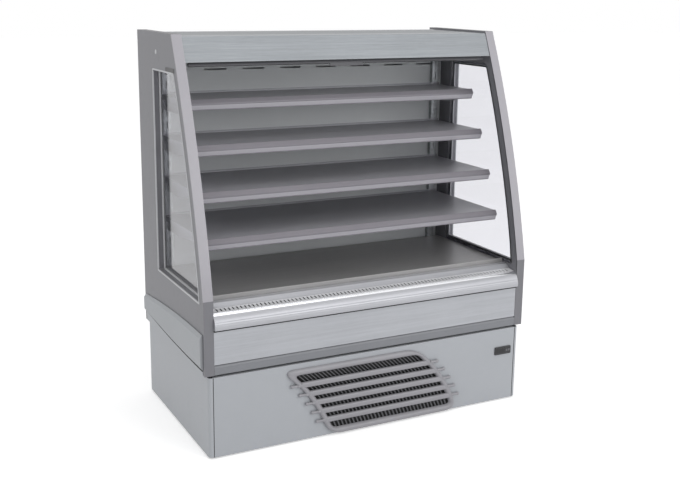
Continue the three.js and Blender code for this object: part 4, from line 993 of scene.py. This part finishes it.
def makeController():
    low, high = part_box("controller_body")
    middle = (low + high) / 2
    bezel = newBlock("controller_bezel", low, (high.x, frontY - 0.0003, high.z))
    roundCorners(bezel, lambda a, b: abs(a.y - b.y) > 0.001, controller["corner"], 6)
    insetFaces(bezel, lambda centre, normal: normal.y < -0.9, (0.0016, 0), (0.0005, -0.0004))
    roundEdges(bezel, 0.0005)
    wide, tall = controller["rearHalf"]
    rear = newBlock("controller_rear", (middle.x - wide, frontY - 0.001, middle.z - tall),
                    (middle.x + wide, high.y, middle.z + tall), 0.0015)
    finished(joined("controller_piece", [bezel, rear]), "service_panel", "black_plastic", ["controller_body"])
    start, end = controller["window"]
    glass = newBlock("controller_window", (middle.x + start, low.y, middle.z - controller["windowHalf"]),
                     (middle.x + end, low.y + 0.0014, middle.z + controller["windowHalf"]))
    insetFaces(glass, lambda centre, normal: normal.y < -0.9, (0.0012, 0), (0.0004, 0.0003))
    roundEdges(glass, 0.0003)
    finished(glass, "service_panel", "black_plastic", finish="displayGlass")


def controllerKey(label):
    node = "controller_key_" + label
    key = newBlock(node + "_piece", *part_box(node))
    roundCorners(key, lambda a, b: abs(a.y - b.y) > 0.001, controller["keyCorner"], 4)
    insetFaces(key, lambda centre, normal: normal.y < -0.9, (0.0009, -0.0002))
    roundEdges(key, 0.0003)
    finished(key, nodeBody[node], "key_plastic", [node])


makeController()
for side, label in bothSides:
    controllerKey(label)
print("controller made")

# Canopy lamp: batten, sockets and a fluorescent tube.
lamp = {"battenHalf": 0.011, "battenDeep": 0.016, "socket": 0.014, "socketHalf": 0.009, "tubeDrop": 0.028,
        "tubeRadius": 8, "capRadius": 7.8, "capLength": 0.0108}


def makeLamp():
    low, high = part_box("canopy_lamp")
    middle, tubeZ = (low.y + high.y) / 2, high.z - lamp["tubeDrop"]
    wide, half = lamp["battenHalf"], lamp["socketHalf"]
    batten = newBlock("lamp_batten", (low.x, middle - wide, high.z - lamp["battenDeep"]),
                      (high.x, middle + wide, high.z))
    insetFaces(batten, lambda centre, normal: normal.z < -0.9, (0.003, 0), (0.002, 0.0015))
    roundEdges(batten, 0.0012)
    parts = [batten]
    for x in (low.x, high.x - lamp["socket"]):
        socket = newBlock("lamp_socket", (x, middle - half, tubeZ - half),
                          (x + lamp["socket"], middle + half, high.z - lamp["battenDeep"] + 0.001))
        roundCorners(socket, lambda a, b: abs(a.x - b.x) > 0.001 and a.z < tubeZ, 0.007, 5)
        roundEdges(socket, 0.0008)
        parts.append(socket)
    finished(joined("lamp_body", parts), "case", "lamp_white", ["canopy_lamp"])
    start, end = low.x + lamp["socket"] + 0.0005, high.x - lamp["socket"] - 0.0005
    profile = [(start, 6), (start + 0.011, 6), (start + 0.0115, 7.6), (start + 0.016, lamp["tubeRadius"]),
               (0, lamp["tubeRadius"])]
    tube = turnedAcross("lamp_tube", withMirror(profile), middle, tubeZ)
    finished(tube, "case", "lamp_white", finish="lampGlow")
    for x, (side, label) in zip((start, end), bothSides):
        reach = x - side * lamp["capLength"]
        cap = turnedAcross("lamp_cap_" + label, [(x, 0), (x, lamp["capRadius"]), (reach, lamp["capRadius"]),
                                                 (reach - side * 0.0006, 6.6)], middle, tubeZ)
        finished(cap, "case", "lamp_white", finish="screwSteel")


# Air straightener: a framed lattice of thin slats.
honeycomb = {"frame": 0.004, "thin": 0.0006, "slats": 99, "slatPitch": 0.0125, "rails": 4, "railPitch": 0.0115,
             "railFrom": 0.0128, "reach": 0.0035, "sunk": 0.003}


def makeHoneycomb():
    low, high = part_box("air_honeycomb")
    thin, reach, sunk = honeycomb["thin"], honeycomb["reach"], honeycomb["sunk"]
    rim = newBlock("honeycomb_frame", low, high)
    openEdit(rim, "FACE")
    pickFaces(rim, lambda centre, normal: abs(normal.z) > 0.9)
    edit.inset(thickness=honeycomb["frame"])
    edit.bridge_edge_loops()
    closeEdit()
    roundEdges(rim, 0.0006)
    slatX, railY = low.x + honeycomb["frame"], low.y + honeycomb["railFrom"]
    slat = newBlock("honeycomb_slat", (slatX, low.y + reach, low.z + sunk),
                    (slatX + thin, high.y - reach, high.z - sunk), 0.0001, 1)
    rail = newBlock("honeycomb_rail", (low.x + reach, railY, low.z + sunk),
                    (high.x - reach, railY + thin, high.z - sunk), 0.0001, 1)
    repeat(slat, honeycomb["slats"], (honeycomb["slatPitch"], 0, 0))
    repeat(rail, honeycomb["rails"], (0, honeycomb["railPitch"], 0))
    finished(joined("honeycomb_piece", [rim, slat, rail]), "case", "black_plastic", ["air_honeycomb"])


makeLamp()
makeHoneycomb()
print("canopy fitted")

# Night blind: a wound roll on its tube, the stretch down to the bar, and the bar.
blind = {"centre": (-0.0378285, 1.378477), "outer": 0.0226, "turns": 7, "pitch": 0.0006, "steps": 32,
         "leaves": (-0.0596755, 1.385), "down": (-0.286095, -0.958201), "hang": 0.0362, "thickness": 0.0004,
         "half": 0.612}


def woundRoll():
    y, z = blind["centre"]
    start = math.atan2(blind["leaves"][1] - z, blind["leaves"][0] - y)
    points = []
    for i in range(blind["turns"] * blind["steps"] + 1):
        angle = start - math.tau * i / blind["steps"]
        radius = blind["outer"] - blind["pitch"] * i / blind["steps"]
        points.append((y + radius * math.cos(angle), z + radius * math.sin(angle)))
    length = sum((Vector(b) - Vector(a)).length for a, b in zip(points, points[1:]))
    roll = drawnAcross("blind_roll", points, -blind["half"], blind["half"], closed=False)
    thicken(roll, blind["thickness"])
    return roll, length


def blindTube():
    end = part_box("blind_roller")[0].x
    inner = (blind["outer"] - blind["pitch"] * (blind["turns"] + 1)) * 1000
    profile = [(end, 0), (end, 4.4), (end + 0.0006, 5), (-0.619, 5), (-0.619, 12), (-0.6185, 13),
               (-0.6165, 13), (-0.616, inner), (0, inner)]
    tube = turnedAcross("blind_tube", withMirror(profile), *blind["centre"])
    # the tube shares the blind bar's dark grey, partly painted shade
    finished(tube, "roller", "blind_cloth", ["blind_roller"], finish="blind_bar")


def blindSheet():  # the free stretch down to the bar, a fixed sheet here; on the real blind it is drawn out as the blind comes down
    leaves, down = Vector((0, *blind["leaves"])), Vector((0, *blind["down"]))
    points = [(leaves + down * (blind["hang"] * i / 12)).yz for i in range(13)]
    sheet = drawnAcross("blind_cloth", points, -blind["half"], blind["half"], closed=False)
    thicken(sheet, blind["thickness"])
    makeActive(sheet)
    bpy.ops.object.shade_smooth_by_angle(angle=math.radians(30))
    sheet.data.materials.append(finishes["blind_cloth"])
    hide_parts("blind_fabric")
    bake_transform(sheet)


roll, rollLength = woundRoll()
finished(roll, "roller", "blind_cloth", angle=30)
blindTube()
blindSheet()
print("blind made")

# Fans: pressed blades on a moulded hub, one shape for all three.
fan = {"hub": 0.022, "halfDepth": 0.0125, "blades": 5, "bore": 4.3, "blade": 0.0016}


def fanBlade(radius):  # curved, twisted blade along X, turning about Y
    blade = started("fan_blade", edit.primitive_grid_add, x_subdivisions=8, y_subdivisions=6, size=2)
    root = fan["hub"] * 0.85
    for vertex in blade.data.vertices:
        out, across = (vertex.co.x + 1) / 2, vertex.co.y
        far = root + (radius - root) * out
        along = across * radius * (0.17 + 0.13 * math.sin(math.pi * (0.15 + 0.6 * out)))
        pitch = 0.85 - 0.45 * out
        camber = 0.05 * radius * (1 - across ** 2) * (1 - 0.4 * out)
        y = -math.sin(pitch) * along + camber * math.cos(pitch)
        z = math.cos(pitch) * along + 0.12 * radius * out ** 2  # swept forward towards the tip
        y = max(-fan["halfDepth"], min(fan["halfDepth"], y))
        vertex.co = (math.sqrt(max(far ** 2 - z ** 2, 1e-8)), y, z)
    thicken(blade, fan["blade"])
    roundEdges(blade, 0.0004, 1, 60)
    return blade


def makeFan(node):
    low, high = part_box(node)
    depth, bore = fan["halfDepth"], fan["bore"]
    profile = [(-depth, 0), (-depth, 12), (-depth + 0.001, 17), (-depth + 0.004, 20.5), (-depth + 0.008, 22),
               (depth, 22), (depth, 19), (-depth + 0.006, 18.5), (-depth + 0.006, 8), (depth - 0.003, 7.5),
               (depth - 0.003, bore + 0.1), (0, bore), (0, 0)]
    parts = [turnedPiece("fan_hub", [(out / 1000, y, 0) for y, out in profile], (0, 0, 0), (0, 1, 0), 32)]
    for i in range(fan["blades"]):
        blade = fanBlade((high.x - low.x) / 2 - 0.0005)
        blade.rotation_euler = (0, math.tau * i / fan["blades"], 0)
        applyPlace(blade)
        parts.append(blade)
    whole = joined(node + "_piece", parts)
    joint = next(row for row in frame["joints"] if row["child"] == nodeBody[node])  # it says where the axis is
    openEdit(whole)
    bpy.ops.transform.translate(value=(joint["pos_m"][0], (low.y + high.y) / 2, joint["pos_m"][2]))
    closeEdit()
    finished(whole, nodeBody[node], nodeSlot[node], [node], 40)


for node in ("condenser_fan", "evaporator_fan_left", "evaporator_fan_right"):
    makeFan(node)
print("fans made")

# Finned coils: end plates, rows of fins and return bends.
coil = {"fin": 0.0004, "pitch": 0.0042, "plate": 0.002, "tube": 0.004, "bend": 0.010, "bendReach": 0.014,
        "rows": {"condenser_coil": 5, "evaporator_coil": 2}}


def returnBend(x, y, z, side):
    bend = started("coil_bend", edit.primitive_circle_add, vertices=12, radius=coil["tube"],
                   location=(x, y - coil["bend"], z), rotation=(0, math.pi / 2, 0))
    applyPlace(bend)
    openEdit(bend, "VERT")
    edit.spin(steps=12, angle=math.pi * side, center=(x, y, z), axis=(0, 0, 1))
    faceOut()
    closeEdit()
    return bend


def makeCoil(node, rows):
    low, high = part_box(node)
    left, right = low.x + coil["bendReach"], high.x - coil["bendReach"]
    start, end = left - coil["plate"], right + coil["plate"]
    plates = [newBlock("coil_plate", (x, low.y, low.z), (x + coil["plate"], high.y, high.z), 0.0005, 1)
              for x in (start, right)]
    fin = newBlock("coil_fin", (left + 0.001, low.y + 0.001, low.z + 0.001),
                   (left + 0.001 + coil["fin"], high.y - 0.001, high.z - 0.004), 0.0001, 1)
    repeat(fin, int((right - left - 0.002) / coil["pitch"]), (coil["pitch"], 0, 0))
    middle = (low.y + high.y) / 2
    tubes = []
    for row in range(rows):
        z = low.z + (high.z - low.z - 0.004) * (row + 0.5) / rows
        tubes += [returnBend(start, middle, z, -1), returnBend(end, middle, z, 1)]
        for y in (middle - coil["bend"], middle + coil["bend"]):
            tubes.append(newRod("coil_tube", (start, y, z), (end, y, z), coil["tube"], 12))
    for parts, finish in ((plates, "galvanised"), ([fin], "coil_fins"), (tubes, "copper_pipe")):
        for part in parts:
            part.data.materials.append(finishes[finish])
    finished(joined(node + "_piece", plates + [fin] + tubes), "case", "coil_fins", [node], 40)


for node, rows in coil["rows"].items():
    makeCoil(node, rows)
print("coils made")

# Compressor with its mounting plate, cover and rubber mounts, and the copper line. Profiles are in mm.
compressor = {"centre": 0.115, "plateLength": 0.23, "plate": (0.006, 0.009), "plateCorner": 0.02,
              "cover": (0.078, 0.12, 0.028, 0.06, 0.13), "mountAt": (0.1, 0.065),
              "can": [(0, 14), (30, 14), (58, 16), (78, 22), (86, 30), (88, 40), (88, 92), (90, 93.5),
                      (94.5, 94), (95, 96.5), (94.5, 99), (90, 99.5), (88, 101), (88, 142), (86.5, 155),
                      (81, 166), (70, 175), (52, 181.5), (30, 184.2), (0, 185)],
              "mount": [(0, 0), (11, 0), (12.5, 1.5), (12.5, 4.5), (10, 6), (10, 9.2), (12, 10), (12, 13.5),
                        (10.5, 15), (0, 15)]}


def makeCompressor():
    low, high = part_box("compressor")
    x, y = low.x + compressor["centre"], (low.y + high.y) / 2
    can = turnedUpright("compressor_can", compressor["can"], x, y, low.z, 56)
    under, over = compressor["plate"]
    plate = newBlock("compressor_plate", (low.x, low.y, low.z + under),
                     (low.x + compressor["plateLength"], high.y, low.z + over))
    roundCorners(plate, lambda a, b: abs(a.z - b.z) > 0.001, compressor["plateCorner"], 5)
    roundEdges(plate, 0.0008, 1)
    near, far, half, bottom, top = compressor["cover"]
    cover = newBlock("compressor_cover", (x + near, y - half, low.z + bottom), (x + far, y + half, low.z + top))
    insetFaces(cover, lambda centre, normal: normal.x > 0.9, (0.005, 0), (0.001, -0.001))
    roundEdges(cover, 0.003, 3)
    along, across = compressor["mountAt"]
    mounts = [turnedUpright("compressor_mount", compressor["mount"], x + sx * along, y + sy * across, low.z, 24)
              for sx in (-1, 1) for sy in (-1, 1)]
    whole = joined("compressor_piece", [can, plate, cover] + mounts)
    finished(whole, "case", "black_paint", ["compressor"], 40)


def makePipe():
    pipe = nodeCopy("refrigerant_pipe_piece", "refrigerant_pipe")
    addModifier(pipe, "SUBSURF", levels=2, render_levels=2)
    finished(pipe, nodeBody["refrigerant_pipe"], "copper_pipe", ["refrigerant_pipe"], 60)


makeCompressor()
makePipe()
print("compressor and pipe made")

# Levelling feet, in mm: rubber pad, threaded stud and nut.
foot = {"pad": [(0, 0), (20.6, 0), (22, 1.4), (22, 7), (20.4, 9), (14, 11.4), (12.8, 12), (0, 12)],
        "stud": (12, 60), "radius": 4.6, "thread": 1.5, "depth": 0.45, "nut": (26, 34), "nutRadius": 9}


def makeFoot(node):
    low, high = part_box(node)
    x, y = (low.x + high.x) / 2, (low.y + high.y) / 2
    pad = turnedUpright(node + "_pad", foot["pad"], x, y, 0, 36)
    finished(pad, nodeBody[node], "black_plastic", [node], finish="rubberBlack")
    start, end = foot["stud"]
    crest, valley = foot["radius"], foot["radius"] - foot["depth"]
    points = [(0, start)]
    for i in range(int((end - start) / foot["thread"])):
        z = start + i * foot["thread"]
        points += [(valley, z + 0.1), (crest, z + foot["thread"] / 2)]
    stud = turnedUpright("foot_stud", points + [(crest - 1, end - 0.2), (0, end)], x, y, 0, 16)
    under, over = foot["nut"]
    nut = newRod("foot_nut", (x, y, under / 1000), (x, y, over / 1000), foot["nutRadius"] / 1000, 6)
    roundEdges(nut, 0.0007)
    finished(joined(node + "_stud", [stud, nut]), nodeBody[node], "galvanised", finish="screwSteel", angle=30)


for corner in ("front_left", "front_right", "rear_left", "rear_right"):
    makeFoot("foot_" + corner)
print("feet made")

# Screws on the back, the vents and the roof: how far in from the panel's ends, and the radius of the head.
screw = {"rise": 0.32, "slotLength": 0.42, "slotWidth": 0.12, "slotDepth": 0.8, "backIn": 0.02,
         "backRadius": 0.0045, "ventRadius": 0.004}
screwProfile = [(0, 1), (0.45, 0.97), (0.8, 0.75), (0.97, 0.35), (1, 0), (0.97, -0.15)]


def screwHead(name, place, axis, radius):  # pan head with a cross recess, flat on its panel
    rise = radius * screw["rise"]
    points = [(radius * out, 0, rise * up) for out, up in screwProfile]
    head = turnedPiece(name, points, (0, 0, 0), (0, 0, 1), 20)
    openEdit(head, "FACE")
    pickFaces(head, lambda centre, normal: centre.xy.length < radius * screw["slotLength"] and normal.z > 0.5
              and min(abs(centre.x), abs(centre.y)) < radius * screw["slotWidth"])
    pullOut((0, 0, -rise * screw["slotDepth"]))
    closeEdit()
    head.rotation_euler = Vector(axis).to_track_quat("Z", "Y").to_euler()
    head.location = place
    applyPlace(head)
    return head


def screwRow(name, places, axis, radius):
    heads = [screwHead(name, place, axis, radius) for place in places]
    finished(joined(name, heads), "case", "galvanised", finish="screwSteel", angle=45)


backLow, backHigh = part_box("insulated_back")
backRows = (backLow.z + screw["backIn"], backHigh.z - screw["backIn"])
ventY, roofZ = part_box("base_back_panel")[0].y + 0.002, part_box("insulated_roof")[1].z
screwRow("back_screws", [(x, backHigh.y, z) for x in (-0.6, -0.2, 0.2, 0.6) for z in backRows], (0, 1, 0),
         screw["backRadius"])
screwRow("vent_screws", [(x, ventY, z) for x in (-0.61, 0, 0.61) for z in (0.055, 0.285)], (0, 1, 0),
         screw["ventRadius"])
screwRow("roof_screws", [(x, y, roofZ) for x in (-0.6, 0.6) for y in (0.05, 0.28)], (0, 0, 1),
         screw["backRadius"])
print("fittings made")

# Studio: a pale floor, soft light and a white surround.
studio = {"floor": 60.0, "floorShade": 238, "surround": 0.66, "floorLift": 0.42, "aim": (0, 0, 0.7),
          "lampSize": 3.6, "lamps": {"key": ((2.3, -5.2, 3.0), 112), "fill": ((-4.6, -2.6, 2.2), 26),
                                     "top": ((-0.4, -1.0, 4.5), 30)}}


def softLamp(name, place, power):
    data = bpy.data.lights.new(name, "AREA")
    data.shape = "SQUARE"
    data.size = studio["lampSize"]
    data.energy = power
    light = bpy.data.objects.new(name, data)
    scene.collection.objects.link(light)
    light.location = place
    aim = Vector(studio["aim"]) - Vector(place)
    light.rotation_euler = aim.to_track_quat("-Z", "Y").to_euler()


def seenDirectly(tree):  # 1 where the camera, a reflection or clear glass looks at it
    path = addNode(tree, "LightPath").outputs
    seen = mathNode("ADD", path["Is Camera Ray"], path["Is Glossy Ray"], clamp=True)
    return mathNode("ADD", seen, path["Is Transmission Ray"], clamp=True)


def makeSurround():
    world = bpy.data.worlds.new("studio")
    world.use_nodes = True
    scene.world = world
    tree = world.node_tree
    ground = tree.nodes["Background"].inputs
    feed(ground["Color"], (1, 1, 1, 1))
    feed(ground["Strength"], rangeNode(seenDirectly(tree), 0, 1, studio["surround"], 1))


def makeFloor():
    floor = started("floor", edit.primitive_plane_add, size=studio["floor"])
    material = bpy.data.materials.new("floor")
    material.use_nodes = True
    tree = material.node_tree
    shader = tree.nodes["Principled BSDF"].inputs
    feed(shader["Base Color"], colour(*[studio["floorShade"]] * 3))
    feed(shader["Roughness"], 0.8)
    feed(shader["Emission Color"], (1, 1, 1, 1))
    feed(shader["Emission Strength"], rangeNode(seenDirectly(tree), 0, 1, 0, studio["floorLift"]))
    floor.data.materials.append(material)


for name, (place, power) in studio["lamps"].items():
    softLamp(name, place, power)
makeSurround()
makeFloor()
scene.view_settings.view_transform = "Standard"
print("studio lit")
